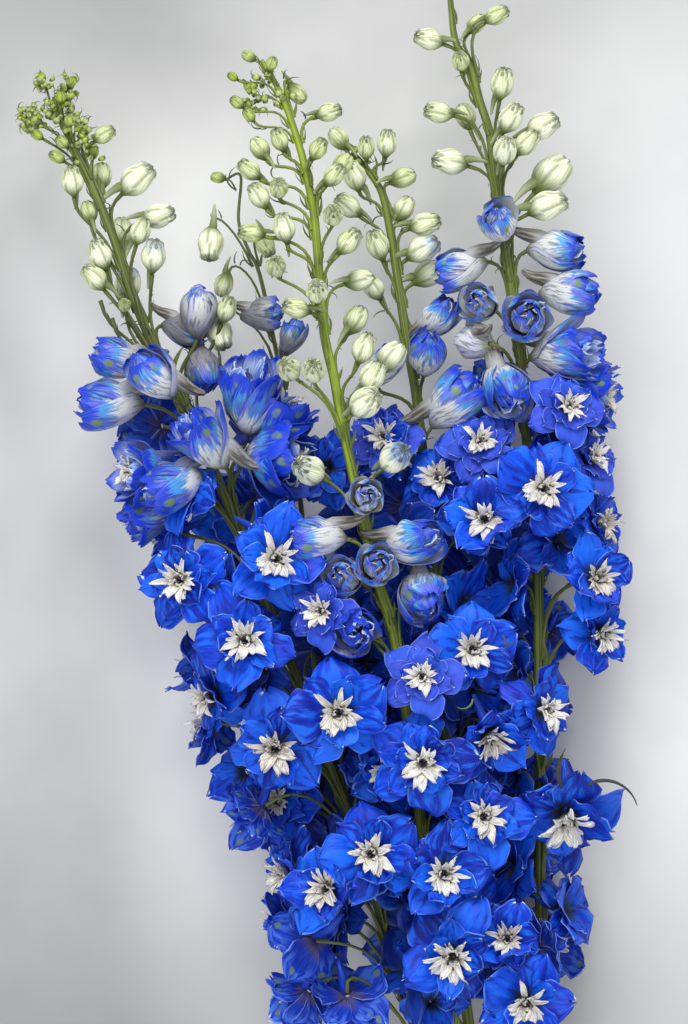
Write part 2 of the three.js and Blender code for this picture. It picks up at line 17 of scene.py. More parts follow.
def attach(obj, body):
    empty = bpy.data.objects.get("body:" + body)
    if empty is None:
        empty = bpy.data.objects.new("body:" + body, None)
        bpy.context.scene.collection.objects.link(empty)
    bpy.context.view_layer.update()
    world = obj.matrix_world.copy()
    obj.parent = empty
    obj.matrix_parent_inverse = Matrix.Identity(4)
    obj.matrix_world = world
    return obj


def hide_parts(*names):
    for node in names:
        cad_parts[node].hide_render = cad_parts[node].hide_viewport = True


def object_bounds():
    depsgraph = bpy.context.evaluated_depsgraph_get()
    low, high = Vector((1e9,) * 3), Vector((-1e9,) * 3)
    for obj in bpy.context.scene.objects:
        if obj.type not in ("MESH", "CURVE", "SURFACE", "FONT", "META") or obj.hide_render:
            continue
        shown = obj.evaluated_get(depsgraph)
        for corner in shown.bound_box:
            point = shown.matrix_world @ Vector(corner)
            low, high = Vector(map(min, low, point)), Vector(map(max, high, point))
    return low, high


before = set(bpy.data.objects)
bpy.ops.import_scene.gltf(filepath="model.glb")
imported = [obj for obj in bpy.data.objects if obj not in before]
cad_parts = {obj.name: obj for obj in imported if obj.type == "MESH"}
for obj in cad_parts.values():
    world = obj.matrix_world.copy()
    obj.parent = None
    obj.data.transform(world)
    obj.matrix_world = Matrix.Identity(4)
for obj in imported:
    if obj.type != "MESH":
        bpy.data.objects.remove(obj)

cad_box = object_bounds()
print("frame box, mm:", [[round(value * 1000, 1) for value in corner] for corner in cad_box])

# %% [markdown]
# ## Measures
# The plants are measured in millimetres from the middle of their flowering part, x to the right, y
# towards the tips and z up from the table. Blender works in metres round the middle of the whole bunch,
# so one small function turns the first into the second. Everything else uses it.

# %% One way from the bench to the frame
MM = 0.001
BUNCH_MIDDLE = np.array([-8.0, -95.0, 0.0])


def to_frame(points):
    return (np.asarray(points, float) - BUNCH_MIDDLE) * MM


# %% [markdown]
# ## Camera and light
# A long bunch is best seen from far away through a long lens, which keeps the stems parallel. A sensor
# fitted to the picture's height makes the focal length a simple ratio: sensor height times distance over
# the height we want to see. Three large area lamps and a pale sky give soft shadows.

# %% Camera
VIEW_HEIGHT = 512.0
VIEW_DISTANCE = 3000.0
FLOWER_LEVEL = 62.0
SENSOR = 36.0

camera_data = bpy.data.cameras.new("overhead_camera")
camera_data.sensor_fit = "VERTICAL"
camera_data.sensor_height = SENSOR
camera_data.lens = SENSOR * VIEW_DISTANCE / VIEW_HEIGHT
camera_data.clip_end = 20
camera = bpy.data.objects.new("overhead_camera", camera_data)
camera.location = to_frame((0, 0, FLOWER_LEVEL + VIEW_DISTANCE))
bpy.context.scene.collection.objects.link(camera)
bpy.context.scene.camera = camera
bpy.context.scene.view_settings.view_transform = "Standard"
print("lens", round(camera_data.lens, 1), "mm")


# %% Soft light
LAMP_AIM = Vector((0, 0.05, 0.05))
SKY_COLOUR, SKY_STRENGTH = (0.86, 0.88, 0.9, 1), 0.7


def lamp(name, place, size, power, tint):
    data = bpy.data.lights.new(name, "AREA")
    data.shape = "DISK"
    data.size = size
    data.energy = power
    data.color = tint
    holder = bpy.data.objects.new(name, data)
    holder.location = place
    holder.rotation_euler = (LAMP_AIM - Vector(place)).to_track_quat("-Z", "Y").to_euler()
    bpy.context.scene.collection.objects.link(holder)


lamp("key_lamp", (0.10, 2.0, 1.8), 1.0, 38, (1.0, 0.98, 0.95))
lamp("fill_lamp", (-0.5, 0.7, 1.9), 1.6, 12, (0.97, 0.98, 1.0))
lamp("low_lamp", (-0.2, -1.7, 1.5), 1.4, 9, (1.0, 1.0, 1.0))
world = bpy.data.worlds.new("studio_air")
world.use_nodes = True
world.node_tree.nodes["Background"].inputs["Color"].default_value = SKY_COLOUR
world.node_tree.nodes["Background"].inputs["Strength"].default_value = SKY_STRENGTH
bpy.context.scene.world = world
print("lamps:", [light.name for light in bpy.data.lights])

# %% [markdown]
# ## A short way to write node trees
# A finish is a small network of nodes, and so is a rule that places petals. Building one by hand takes many
# lines, so one class makes a node and plugs it in, and does sums. A second class adds what finishes need: a
# value stored on the mesh, a noise, a soft step, an oval spot and a mix. Values that are the same all over
# are set straight on the shader. Nearly all patterns read values stored on the petals themselves, so that
# a vein stays on its petal however the petal is turned. The rest read Object coordinates, which are places.


# %% Wiring: nodes and sums in any tree
class Wiring:
    def node(self, kind, settings=None, **links):
        made = self.tree.nodes.new(kind)
        for key, value in (settings or {}).items():
            setattr(made, key, value)
        for key, value in links.items():
            self.plug(made.inputs[key.replace("_", " ")], value)
        return made

    def plug(self, socket, value):
        if isinstance(value, bpy.types.NodeSocket):
            self.tree.links.new(value, socket)
        else:
            socket.default_value = value

    def maths(self, operation, first, second=0.0):
        made = self.node("ShaderNodeMath", {"operation": operation})
        self.plug(made.inputs[0], first)
        self.plug(made.inputs[1], second)
        return made.outputs[0]

    def plus(self, first, second):
        return self.maths("ADD", first, second)

    def minus(self, first, second):
        return self.maths("SUBTRACT", first, second)

    def times(self, first, second):
        return self.maths("MULTIPLY", first, second)


# %% Skin: a material and its wiring
class Skin(Wiring):
    def __init__(self, name, roughness, specular):
        self.material = bpy.data.materials.new(name)
        self.material.use_nodes = True
        self.tree = self.material.node_tree
        self.shader = self.tree.nodes["Principled BSDF"]
        self.shader.inputs["Roughness"].default_value = roughness
        self.shader.inputs["Specular IOR Level"].default_value = specular

    def stored(self, name, vector=False):
        """A value that the mesh carries."""
        read = self.node("ShaderNodeAttribute", {"attribute_type": "GEOMETRY", "attribute_name": name})
        return read.outputs["Vector" if vector else "Fac"]

    def noise(self, vector, scale, detail=2.0, stretch=(1, 1, 1), shift=0.0):
        moved = self.node("ShaderNodeVectorMath", {"operation": "MULTIPLY_ADD"})
        self.plug(moved.inputs[0], vector)
        self.plug(moved.inputs[1], stretch)
        self.plug(moved.inputs[2], (shift, shift, shift))
        made = self.node("ShaderNodeTexNoise", Vector=moved.outputs[0], Scale=scale, Detail=detail)
        return made.outputs["Fac"]

    def between(self, value, low, high):
        """0 below low, 1 above high, and smooth from one to the other."""
        made = self.node("ShaderNodeMapRange", {"interpolation_type": "SMOOTHSTEP"})
        for key, given in zip(("Value", "From Min", "From Max"), (value, low, high)):
            self.plug(made.inputs[key], given)
        return made.outputs["Result"]

    def spot(self, across, along, middle, tightness):
        """1 in the middle of a soft oval spot on a petal, and 0 round it."""
        aside = self.times(across, tightness[0])
        away = self.times(self.minus(along, middle), tightness[1])
        square = self.plus(self.times(aside, aside), self.times(away, away))
        return self.between(square, 1.0, 0.1)

    def mix(self, share, first, second):
        made = self.node("ShaderNodeMix", {"data_type": "RGBA"})
        for index, given in ((0, share), (6, first), (7, second)):
            if isinstance(given, tuple):
                given = (*given, 1.0)
            self.plug(made.inputs[index], given)
        return made.outputs[2]

    def split(self, vector):
        return self.node("ShaderNodeSeparateXYZ", Vector=vector).outputs

    def fibre(self, length):
        """The place round and along a swept line, as long as the fibres in it ask."""
        side_x, side_y, _ = self.split(self.stored("round", vector=True))
        along = self.times(self.stored("along"), length)
        return self.node("ShaderNodeCombineXYZ", X=side_x, Y=side_y, Z=along).outputs[0]

    def finish(self, colour, bump=None, strength=0.3, depth=0.0002):
        self.plug(self.shader.inputs["Base Color"], colour)
        if bump is not None:
            raised = self.node("ShaderNodeBump", Strength=strength, Distance=depth, Height=bump)
            self.plug(self.shader.inputs["Normal"], raised.outputs["Normal"])
        return self.material


# %% [markdown]
# ## The table
# The table is one plane, palest in a long pool of painted light round the bunch, where the bunch's shadow
# falls; the pool's far part leans to the left as the left plant does. Outside the pool painted shade makes it
# darker on the left than on the right, with light clouds all over, and painted shade darkens it a little
# beyond the tips and the feet. Far out it is one even grey, so that no border shows from the side. All of
# this reads places on the plane, in metres.


# %% Table
TABLE_SIZE = 8.0
# Painted light: a pale pool round the bunch, where its shadow falls, with its middle, bend, lean and
# slimness, then its edge and its heart.
LIT_POOL_MIDDLE, LIT_POOL_BEND, LIT_POOL_LEAN, LIT_POOL_SLIM = 0.06, 0.08, 0.45, 0.45
LIT_POOL_EDGE, LIT_POOL_HEART = 0.14, 0.06
# Painted shade beyond the tips and the feet: its middle, where it starts, where it is full and how strong it
# is.
ENDS_MIDDLE, ENDS_START, ENDS_FULL, ENDS_SHADE_SHARE = 0.10, 0.12, 0.30, 0.33
EVEN_START, EVEN_FULL = 0.28, 0.50


def grey(value):
    """A grey with a trace of blue in it."""
    return value, value, value + 0.002


def table_skin():
    skin = Skin("pale_table", roughness=0.9, specular=0.2)
    place = skin.node("ShaderNodeTexCoord").outputs["Object"]
    side, length, _ = skin.split(place)
    beyond = skin.maths("MAXIMUM", skin.minus(length, LIT_POOL_BEND), 0.0)
    aside = skin.plus(side, skin.times(beyond, LIT_POOL_LEAN))
    along = skin.times(skin.minus(length, LIT_POOL_MIDDLE), LIT_POOL_SLIM)
    away = skin.maths("SQRT", skin.plus(skin.times(aside, aside), skin.times(along, along)))
    cloud = skin.between(skin.noise(place, 7.0, 4.0), 0.38, 0.64)
    # painted shade and light: outside the pool the left side is darker and the right side lighter
    left = skin.mix(cloud, grey(0.46), grey(0.54))
    right = skin.mix(cloud, grey(0.71), grey(0.79))
    outside = skin.mix(skin.between(side, -0.11, -0.01), left, right)
    # painted light: a pale pool round the bunch, laid over the shadow that falls there
    colour = skin.mix(skin.between(away, LIT_POOL_EDGE, LIT_POOL_HEART), outside, grey(0.95))
    from_middle = skin.minus(length, ENDS_MIDDLE)
    # painted shade darkens the table beyond the tips and the feet
    ends = skin.between(skin.maths("ABSOLUTE", from_middle), ENDS_START, ENDS_FULL)
    colour = skin.mix(skin.times(ends, ENDS_SHADE_SHARE), colour, (0.0, 0.0, 0.0))
    ring = skin.node("ShaderNodeCombineXYZ", X=side, Y=from_middle).outputs[0]
    reach = skin.node("ShaderNodeVectorMath", {"operation": "LENGTH"}, Vector=ring).outputs["Value"]
    return skin.finish(skin.mix(skin.between(reach, EVEN_START, EVEN_FULL), colour, grey(0.52)))


bpy.ops.mesh.primitive_plane_add(size=TABLE_SIZE, location=(0, 0, 0))
table = bpy.context.object
table.name = "table"
table.data.materials.append(table_skin())
print("table:", table.data.materials[0].name)

# %% [markdown]
# ## The four plants
# A rule could scatter florets, but a real bunch is an arrangement: each floret is where it grew. So the
# visible ones are lists, and what lies hidden follows a rule further down.
# A stem's points run from its tip to its cut end. A bud is x, y, length, and where needed the turn of its
# point from +Y towards +X and its rise from the table, in degrees. An open floret is the middle of its
# mouth, its width and the way that it faces. A half-open one adds how ripe it is: 0 is pale, 1 is deep blue.
# The left plant has a thin side shoot with buds and half-open florets of its own. Hidden florets close gaps
# low in the bunch, and runners are bare stalks: x, y, z and the y of their foot. A bract is the y of its
# foot, its length and the lean of its tip. The rule under says from where to where florets lie below the
# stem, how many, how far from it, how wide and how far they swing out. On the right plant one stretch is
# bare on its right side, and the deep florets stand further left.

# %% Where everything grew
LEFT = {
    "name": "left",
    "stem": [
        [-146, 208.5, 46], [-142, 196, 50], [-134.5, 181, 52], [-126, 163.5, 53], [-116, 138.5, 54],
        [-107, 111, 55], [-94.5, 81, 56], [-72, 36, 56], [-54.5, -4, 55], [-34.5, -54, 53],
        [-12, -114, 50], [10.5, -174, 45], [28, -236.5, 37], [55, -310, 23], [83.8, -385, 6.6],
        [86.2, -400, 5.4], [88.2, -415, 4.8], [97, -466, 3.3],
    ],
    "shoot": [
        [-60, 167, 44], [-52, 169, 45], [-53, 146.5, 46], [-48, 131.5, 47], [-41.5, 116, 47],
        [-29.5, 56, 46], [-22, 6, 44], [-16, -60, 46], [-12.5, -112, 50],
    ],
    "buds": [
        [-152, 218.5, 6], [-137, 215.5, 7], [-142, 207.5, 7], [-155, 196, 9], [-153.5, 188.5, 7],
        [-137.5, 195.5, 7], [-131, 191, 8], [-141, 185, 8], [-143.5, 177.5, 9], [-126.5, 181, 9],
        [-120.5, 188.5, 12, 60], [-136, 165, 15, -5], [-122, 168.5, 14, 0], [-104, 165.5, 20, 50],
        [-93.5, 147.5, 17, 75], [-112, 140, 16, 0], [-101.5, 139.5, 14, 20], [-122, 128, 16, -20],
        [-128, 150, 12, -12], [-124.5, 116.5, 15, -40], [-95, 127, 17, 5], [-108.5, 113.5, 18, 5],
        [-109.5, 103, 9, 0, 70], [-59, 100.5, 14, 20],
    ],
    "shoot_cups": [
        [-36, 99, 60, 17, 0.95, 0.1, 0.1, 0.34], [-25, 92, 62, 15, 0.25, 0.9, 0.2, 0.42],
    ],
    "shoot_buds": [
        [-63, 168, 8, -80], [-67, 135.5, 18, 185], [-40, 134, 13, 150], [-60, 115, 13, 200],
        [-63, 90.5, 18, 160],
    ],
    "cups": [
        [-72, 108, 66, 23, 0.05, 1, 0.15, 0.28], [-119, 80, 62, 23, -0.85, 0.35, 0.3, 0.57],
        [-99, 73, 84, 24, -0.6, 0.65, 0.3, 0.6], [-125, 55, 70, 27, -0.97, 0.05, 0.25, 0.62],
        [-74, 41, 88, 27, -0.6, 0.72, 0.3, 0.64], [-111, 21, 74, 26, -0.9, 0.1, 0.4, 0.84],
        [-93, 12, 88, 27, -0.85, -0.2, 0.4, 0.74], [-103, -4, 64, 25, -0.85, -0.45, 0.15, 0.7],
        [-28, 58, 66, 28, 0.45, 0.85, 0, 1.0], [-20, 24, 76, 32, 0.9, -0.15, 0.2, 1.0],
        [-47, 66, 82, 32, 0.0, 0.9, 0.4, 0.79], [-74, 91, 52, 19, 0.95, -0.15, 0.05, 0.4],
        [-70, 66, 60, 20, 0.15, -0.9, 0.25, 0.5],
    ],
    "stars": [
        [-80, -34, 86, 48, -0.3, 0.05, 0.95], [-34, -23.5, 104, 51, 0.05, 0.1, 1],
        [-48, -63.5, 102, 51, -0.1, 0.05, 1], [-33, -116.5, 98, 51, -0.15, -0.05, 1],
        [-66, -92, 70, 42, -0.75, -0.2, 0.5], [-42, -149, 68, 44, -0.6, -0.55, -0.45],
        [14, -169, 100, 50, -0.1, 0.1, 1], [-7, -187, 90, 46, -0.5, 0.15, 0.8],
        [-27, -180, 66, 42, -0.8, -0.1, 0.4], [-16, -213, 72, 50, -0.5, 0.05, -0.8],
        [2, -243, 66, 44, 0.1, -0.7, -0.55], [-66, -105, 44, 44, -0.9, 0.2, -0.3],
        [-86, -10, 46, 40, -0.9, 0.2, -0.35], [-70, -78, 46, 42, -0.95, -0.05, -0.25],
        [-29, -206, 44, 40, -0.85, -0.2, -0.35], [-19, -241, 56, 44, -0.5, -0.5, -0.6],
        [-32, -146, 44, 44, -0.4, 0.1, 0.8],
    ],
    "hidden": [
        [-9, 22, 45, 44, -0.2, 0.1, 1], [11, -76, 40, 44, 0.1, 0.1, 1], [20, -99, 30, 44, 0, 0.1, 1],
        [-22, -166, 36, 42, -0.2, 0, 1], [-50, -131, 40, 42, -0.4, 0, 0.8],
    ],
    "bracts": [[58, 26, -0.5, 0.2], [-232, 30, -0.6, 0.3]],
    "runners": [[-122, 106, 58, 58], [-116, 97, 62, 50], [-104, 108, 60, 44]],
    "under": {"from": 44, "to": -222, "count": 8, "reach": 42, "width": 50, "swing": 20},
    "pedicel_run": 1.25,
}

FRONT = {
    "name": "front",
    "stem": [
        [-41, 225, 76], [-34, 213, 78], [-28, 199.5, 80], [-22.5, 183, 82], [-19, 169.5, 84],
        [-15, 149, 85], [-13, 128, 86], [-10, 90, 87], [-5, 67, 88], [-1.5, 48, 88], [4, 21, 87],
        [11.5, -10.5, 86], [18, -39, 84], [23.5, -55.5, 82], [30.5, -94, 77], [40.5, -169, 63],
        [53, -244, 47], [68, -310, 33], [84.4, -385, 14.6], [86.2, -400, 13], [86.8, -415, 12.2],
        [88.5, -474, 8.8],
    ],
    "buds": [
        [-47, 226.5, 8, -60], [-36, 222, 8, 20], [-55, 216, 6, -60], [-47, 211, 7, -40],
        [-53, 203, 8, -50], [-47, 196.5, 8, -40], [-24, 209, 12, 140], [-32, 184, 12, -20],
        [-8, 198, 13, 75], [-41.5, 180, 13, -30], [-46.5, 169, 13, -50], [-42, 156, 14, -30],
        [-32.5, 160, 13, 0, 60], [-45.5, 137.5, 13, -80], [-29.5, 140, 15, -10],
        [-33.5, 121, 14, 0, 65], [-13, 179, 12, 30], [-5, 166, 13, 40], [-1, 172, 13, 35],
        [-5.5, 146, 14, 0, 65], [2, 133, 15, 40], [7, 115, 15, 75], [-13.5, 108, 15, 0, 60],
        [-23, 100, 14, -75],
        [5.5, 95, 16, 30], [9.5, 80, 16, 20], [14, 66, 17, 30], [23, 76, 18, 40],
        [-27, 70, 16, -40, 60], [-15, 69, 16, 0, 65], [10, 53, 20, 50, 45], [-16.5, 20, 20, -60, 50],
        [24.5, 26, 20, 50, 50],
    ],
    "cups": [
        [11.5, 8, 106, 20, 0.05, 0.1, 1, 0.2], [-20, -11, 104, 23, -0.97, 0.1, 0.2, 0.52],
        [17, -25, 112, 23, 0.1, 0.2, 1, 0.32], [40, -12, 104, 25, 0.8, 0.3, 0.4, 0.57],
        [6.5, -59, 112, 27, 0.1, -0.1, 1, 0.78], [-2, -31, 104, 22, -0.3, 0.1, 0.9, 0.35],
        [41, -46, 98, 26, 0.3, -0.5, 0.75, 0.5],
    ],
    "stars": [
        [-10, -49, 104, 38, -0.45, 0.1, 0.9], [-2.5, -99, 110, 52, -0.1, 0.05, 1],
        [38.5, -81, 114, 39, 0, 0, 1], [38.5, -123, 110, 50, 0.1, -0.1, 1],
        [49, -178.5, 100, 47, 0.1, 0, 1], [54, -219, 92, 52, -0.1, -0.2, 1],
    ],
    "pedicel_run": 0.6,
}

MIDDLE = {
    "name": "middle",
    "stem": [
        [4, 181, 46], [10, 174, 47], [18.5, 161.5, 48], [22.5, 145, 48], [26.5, 120, 49],
        [31.5, 86, 49], [35.5, 63.5, 48], [38.5, 40.5, 47], [43, -4, 46], [48, -69, 43],
        [54, -144, 38], [58, -219, 32], [72, -310, 18], [92, -385, 6.6], [93.8, -400, 5.4],
        [95.4, -415, 4.8], [106, -462, 3.3],
    ],
    "buds": [
        [-2.5, 187, 13, -35], [11, 182, 12, 0], [21.5, 184.5, 14, 5], [29, 167.5, 14, 70],
        [5, 168, 16, -20], [2.5, 153, 15, -50], [30, 152, 14, 30], [40, 144, 16, 75],
        [39, 131, 18, 60], [42, 119, 18, 60], [17, 133, 16, -20], [15, 112, 14, -30],
    ],
    "cups": [
        [43, 84, 66, 21, 0.15, 0.8, 0.6, 0.5], [50, 102, 58, 19, 0.5, 0.8, 0.3, 0.45],
        [61, 61, 72, 27, 0.6, 0.65, 0.15, 0.6], [22, 78, 66, 17, 0.3, 0.85, 0.1, 0.4],
    ],
    "stars": [
        [20, 36.5, 64, 38, -0.2, 0.35, 0.9], [67, 34, 78, 38, 0.1, 0.35, 0.9],
        [48, 16, 66, 42, -0.2, 0.3, 0.9], [69.5, -4, 92, 46, 0.05, 0.15, 1],
        [63.5, -68.5, 96, 46, 0.05, 0.1, 1], [71.5, -109.5, 94, 44, 0.3, -0.5, 0.8],
        [68.5, -151, 98, 47, 0.15, 0.1, 1], [24, -128, 84, 44, -0.2, -0.2, 1],
    ],
    "hidden": [[44, -246, 50, 38, 0, -0.2, 1]],
    "under": {"from": 4, "to": -196, "count": 6, "reach": 30, "width": 54, "swing": 20},
    "pedicel_run": 0.9,
}

RIGHT = {
    "name": "right",
    "stem": [
        [51.5, 281, 54], [53.5, 254.5, 56], [56, 235.5, 57], [63.5, 223, 57], [68, 206, 57],
        [73, 189.5, 57], [76, 165, 57], [80.5, 136, 57], [88, 79.5, 56], [91, 42.5, 55],
        [94.5, 6, 54], [97, -24, 53], [98, -94, 50], [99, -194, 43], [100.5, -244, 39],
        [100, -310, 28], [94.6, -385, 14.6], [93.8, -400, 13], [94, -415, 12.4], [96.5, -470, 11.2],
    ],
    "buds": [
        [46, 280, 6, -60], [57.5, 277, 7, 40], [59, 266, 8, 50], [66, 244.5, 12, 40],
        [76, 248, 13, 60], [43, 236, 15, -75], [58, 224.5, 12, -10, 50], [79, 213, 16, 10],
        [48, 199.5, 15, -80], [61, 198, 14, -20], [83, 195.5, 16, 30], [98.5, 192, 18, 60],
        [80, 179, 16, 10, 40], [91, 183.5, 15, 40], [53.5, 174.5, 18, -80], [103.5, 168, 24, 45],
        [101, 152, 20, 70],
    ],
    "cups": [
        [76.5, 147, 80, 21, -0.15, 0.5, 0.9, 0.3], [113, 132, 62, 23, 0.98, 0.05, 0.15, 0.5],
        [120, 109, 66, 24, 0.98, 0, 0.15, 0.52], [91.5, 98, 86, 27, 0.05, 0.2, 1, 0.36],
        [118, 80, 74, 29, 0.85, 0.1, 0.4, 0.6], [135, 58, 60, 27, 0.95, -0.05, 0.2, 0.85],
        [82, 57, 84, 28, 0.25, -0.6, 0.75, 0.6], [52, 121, 62, 22, -0.9, -0.2, 0.2, 0.4],
        [66, 105, 74, 21, -0.35, 0.1, 0.95, 0.3], [61, 86, 60, 22, -0.5, 0.1, -0.75, 0.2],
    ],
    "stars": [
        [110, 52, 84, 38, 0.45, 0.15, 0.9], [98, 11, 98, 50, 0.05, 0.1, 1],
        [122, 26, 66, 38, 0.75, 0.3, 0.5], [126, -6, 58, 42, 0.8, 0.1, 0.4],
        [124, -33, 84, 43, 0.5, 0.05, 0.9], [127, -60, 74, 40, 0.6, -0.2, 0.8],
        [98, -98, 92, 43, 0.6, 0.05, 0.8], [110, -150, 86, 56, 0.12, -0.72, 0.68],
        [81, -212, 84, 41, -0.1, 0.1, 1], [90, -243, 84, 47, 0.1, -0.2, 1],
        [100, -217, 58, 36, 0.75, 0.2, -0.5], [127, -34, 46, 40, 0.85, 0.1, -0.4],
        [117, 42, 42, 38, 0.85, 0.25, -0.4], [104, -150, 46, 38, 0.85, 0.05, -0.4],
    ],
    "bare": (-142, -50),
    "deep_shift": -20,
    "bracts": [[-88, 32, 0.5, 0.3], [-222, 34, -0.1, 0.5], [-132, 44, 0.7, 0.5]],
    "under": {"from": 60, "to": -222, "count": 8, "reach": 42, "width": 40, "swing": 11},
    "pedicel_run": 0.95,
}
PLANTS = [FRONT, RIGHT, LEFT, MIDDLE]
for plant in PLANTS:
    print(plant["name"], {key: len(plant[key]) for key in ("buds", "cups", "stars")})


# %% [markdown]
# ## Stems as smooth paths
# A stem bends gently, so its path is a Catmull-Rom curve: it goes through every point that we measured,
# and its direction at a point comes from the two neighbours. We sample it ourselves, because we also
# need to ask where a stem is at some place along the bunch.


# %% Paths
PATH_STEPS = 8


def smooth_path(points):
    points = np.asarray(points, float)
    padded = np.vstack([2 * points[0] - points[1], points, 2 * points[-1] - points[-2]])
    share = np.linspace(0, 1, PATH_STEPS, endpoint=False)[:, None]
    spans = []
    for before, start, end, after in zip(padded, padded[1:], padded[2:], padded[3:]):
        pull_start, pull_end = (end - before) / 2, (after - start) / 2
        bend = 3 * (end - start) - 2 * pull_start - pull_end
        spans.append(start + share * pull_start + share**2 * bend
                     + share**3 * (pull_start + pull_end - 2 * (end - start)))
    return np.vstack([*spans, points[-1:]])


def point_at(path, y):
    """The point of a path at the given y. Paths run from the tip down, so y falls along them."""
    order = np.argsort(path[:, 1])
    return np.array([np.interp(y, path[order, 1], path[order, axis]) for axis in range(3)])


def unit(vector):
    vector = np.asarray(vector, float)
    return vector / np.linalg.norm(vector)


def bend_between(start, start_way, end, end_way, steps):
    """A smooth way that leaves start along start_way and comes to end along end_way."""
    share = np.linspace(0, 1, steps)[:, None]
    near, far = start + start_way, end - end_way
    return ((1 - share)**3 * start + 3 * share * (1 - share)**2 * near
            + 3 * share**2 * (1 - share) * far + share**3 * end)


# %% [markdown]
# ## A shape that grows petal by petal
# Every floret is a set of thin closed shells. The class collects their points and faces, and three values
# for the finish: sheet says where on its petal a point lies (across, along, and a number for the petal),
# rim is 1 on the petal's edge, and back is 1 on its outer side. Turned copies are added round the middle.


# %% Shape
class Shape:
    def __init__(self):
        self.points, self.faces, self.sheet, self.rim, self.back = [], [], [], [], []

    def add(self, part, turn=0.0, tilt=0.0):
        points, faces, sheet, rim, back = part
        first = sum(len(group) for group in self.points)
        spin = Matrix.Rotation(turn, 3, "Z") @ Matrix.Rotation(tilt, 3, "Y")
        self.points.append(points @ np.array(spin).T)
        self.faces += [tuple(first + corner for corner in face) for face in faces]
        self.sheet.append(sheet)
        self.rim.append(rim)
        self.back.append(back)

    def mesh(self, name):
        mesh = bpy.data.meshes.new(name)
        mesh.from_pydata(np.vstack(self.points).tolist(), [], self.faces)
        mesh.polygons.foreach_set("use_smooth", [True] * len(mesh.polygons))
        sheet = mesh.attributes.new("sheet", "FLOAT_VECTOR", "POINT")
        sheet.data.foreach_set("vector", np.vstack(self.sheet).astype(np.float32).ravel())
        for key, values in (("rim", self.rim), ("back", self.back)):
            layer = mesh.attributes.new(key, "FLOAT", "POINT")
            layer.data.foreach_set("value", np.concatenate(values).astype(np.float32))
        return mesh


# %% [markdown]
# ## One petal
# A petal is a strip that leaves the floret's middle at one lean, ends at another, and may curl up or down
# at its tip. Across, it is a spoon or a saddle, one edge may stand higher than the other, and it waves.
# Its outline is a narrow claw that swells to a blade with a ragged edge and a small point, the nib. No
# two are alike, because petals that catch the light differently are what makes a floret look grown.
# A grid of points follows these rules, a second grid lies one thickness behind it, and a rim joins the
# two, so that the petal is a closed body. The grid is finer near the edge, where the outline turns and
# the pale rim line is drawn. Wrapped petals bend round the floret's axis, as those of a cup do.


# %% Petal
def petal(draw, length, width, lean, foot=(0.03, 0.0), cup=0.0, ruffle=0.0, roll=0.0, claw=0.25,
          belly=1.3, blunt=0.6, notch=0.0, wrap=0.0, steps=(12, 8), thick=0.009, waves=2.0,
          curl=0.0, nib=0.0, rag=0.03):
    rows, columns = steps
    along = np.sin(np.linspace(0, math.pi / 2, rows + 1))
    across = np.sin(np.linspace(-math.pi / 2, math.pi / 2, columns + 1))
    angle = np.radians(lean[0] + (lean[1] - lean[0]) * along + curl * along**4)
    middles = (angle[1:] + angle[:-1]) / 2
    step = np.diff(along) * length
    out = foot[0] + np.concatenate([[0], np.cumsum(step * np.cos(middles))])
    up = foot[1] + np.concatenate([[0], np.cumsum(step * np.sin(middles))])
    tip = 0.985  # the blade stops just short of a sharp point
    blade = np.sin(math.pi * np.minimum(along**belly, tip))**blunt
    half = width / 2 * (claw * (1 - along)**3 + blade)

    s, t = np.meshgrid(along, across, indexing="ij")
    turns = [draw.uniform(0, 2 * math.pi) for _ in range(6)]
    edge = np.sin(8 * s + turns[0] + 1.5 * t) + 0.8 * np.sin(17 * s + turns[4] - 2 * t)
    wide = half[:, None] * (1 + 2.2 * rag * edge * s)
    edge_wave = np.abs(t)**1.6 * s * np.sin(2 * math.pi * waves * s + turns[1] + 1.4 * t)
    broad_wave = s * np.sin(4.2 * s + 1.9 * t + turns[2])
    lift = cup * wide * t**2 + ruffle * (edge_wave + 0.6 * broad_wave) + roll * wide * t * s
    ragged = length * rag * (np.sin(7 * t + turns[3]) + 0.7 * np.sin(15 * t + turns[5])) * s**4
    slide = ragged + length * (nib * np.exp(-(t / 0.22)**2) * s**8 - notch * np.exp(-(t / 0.3)**2) * s**3)
    cosine, sine = np.cos(angle)[:, None], np.sin(angle)[:, None]
    x = out[:, None] + cosine * slide - sine * lift
    z = up[:, None] + sine * slide + cosine * lift
    y = wide * t
    swing = wrap * y / np.maximum(out[:, None], 0.22)
    rest = y * (1 - wrap)
    front = np.stack([x * np.cos(swing) - rest * np.sin(swing),
                      x * np.sin(swing) + rest * np.cos(swing), z], axis=2)

    normal = np.cross(np.gradient(front, axis=0), np.gradient(front, axis=1))
    normal /= np.maximum(np.linalg.norm(normal, axis=2, keepdims=True), 1e-9)
    points = np.concatenate([front.reshape(-1, 3), (front - normal * thick).reshape(-1, 3)])
    sheet = np.stack([t * 0.5, s, np.full_like(s, draw.uniform(0, 20))], axis=2).reshape(-1, 3)
    rim = ((np.abs(t) > 0.999) | (s > 0.999)).astype(float).ravel()
    return (points, shell_faces(rows, columns), np.vstack([sheet, sheet]), np.concatenate([rim, rim]),
            np.concatenate([np.zeros(len(rim)), np.ones(len(rim))]))


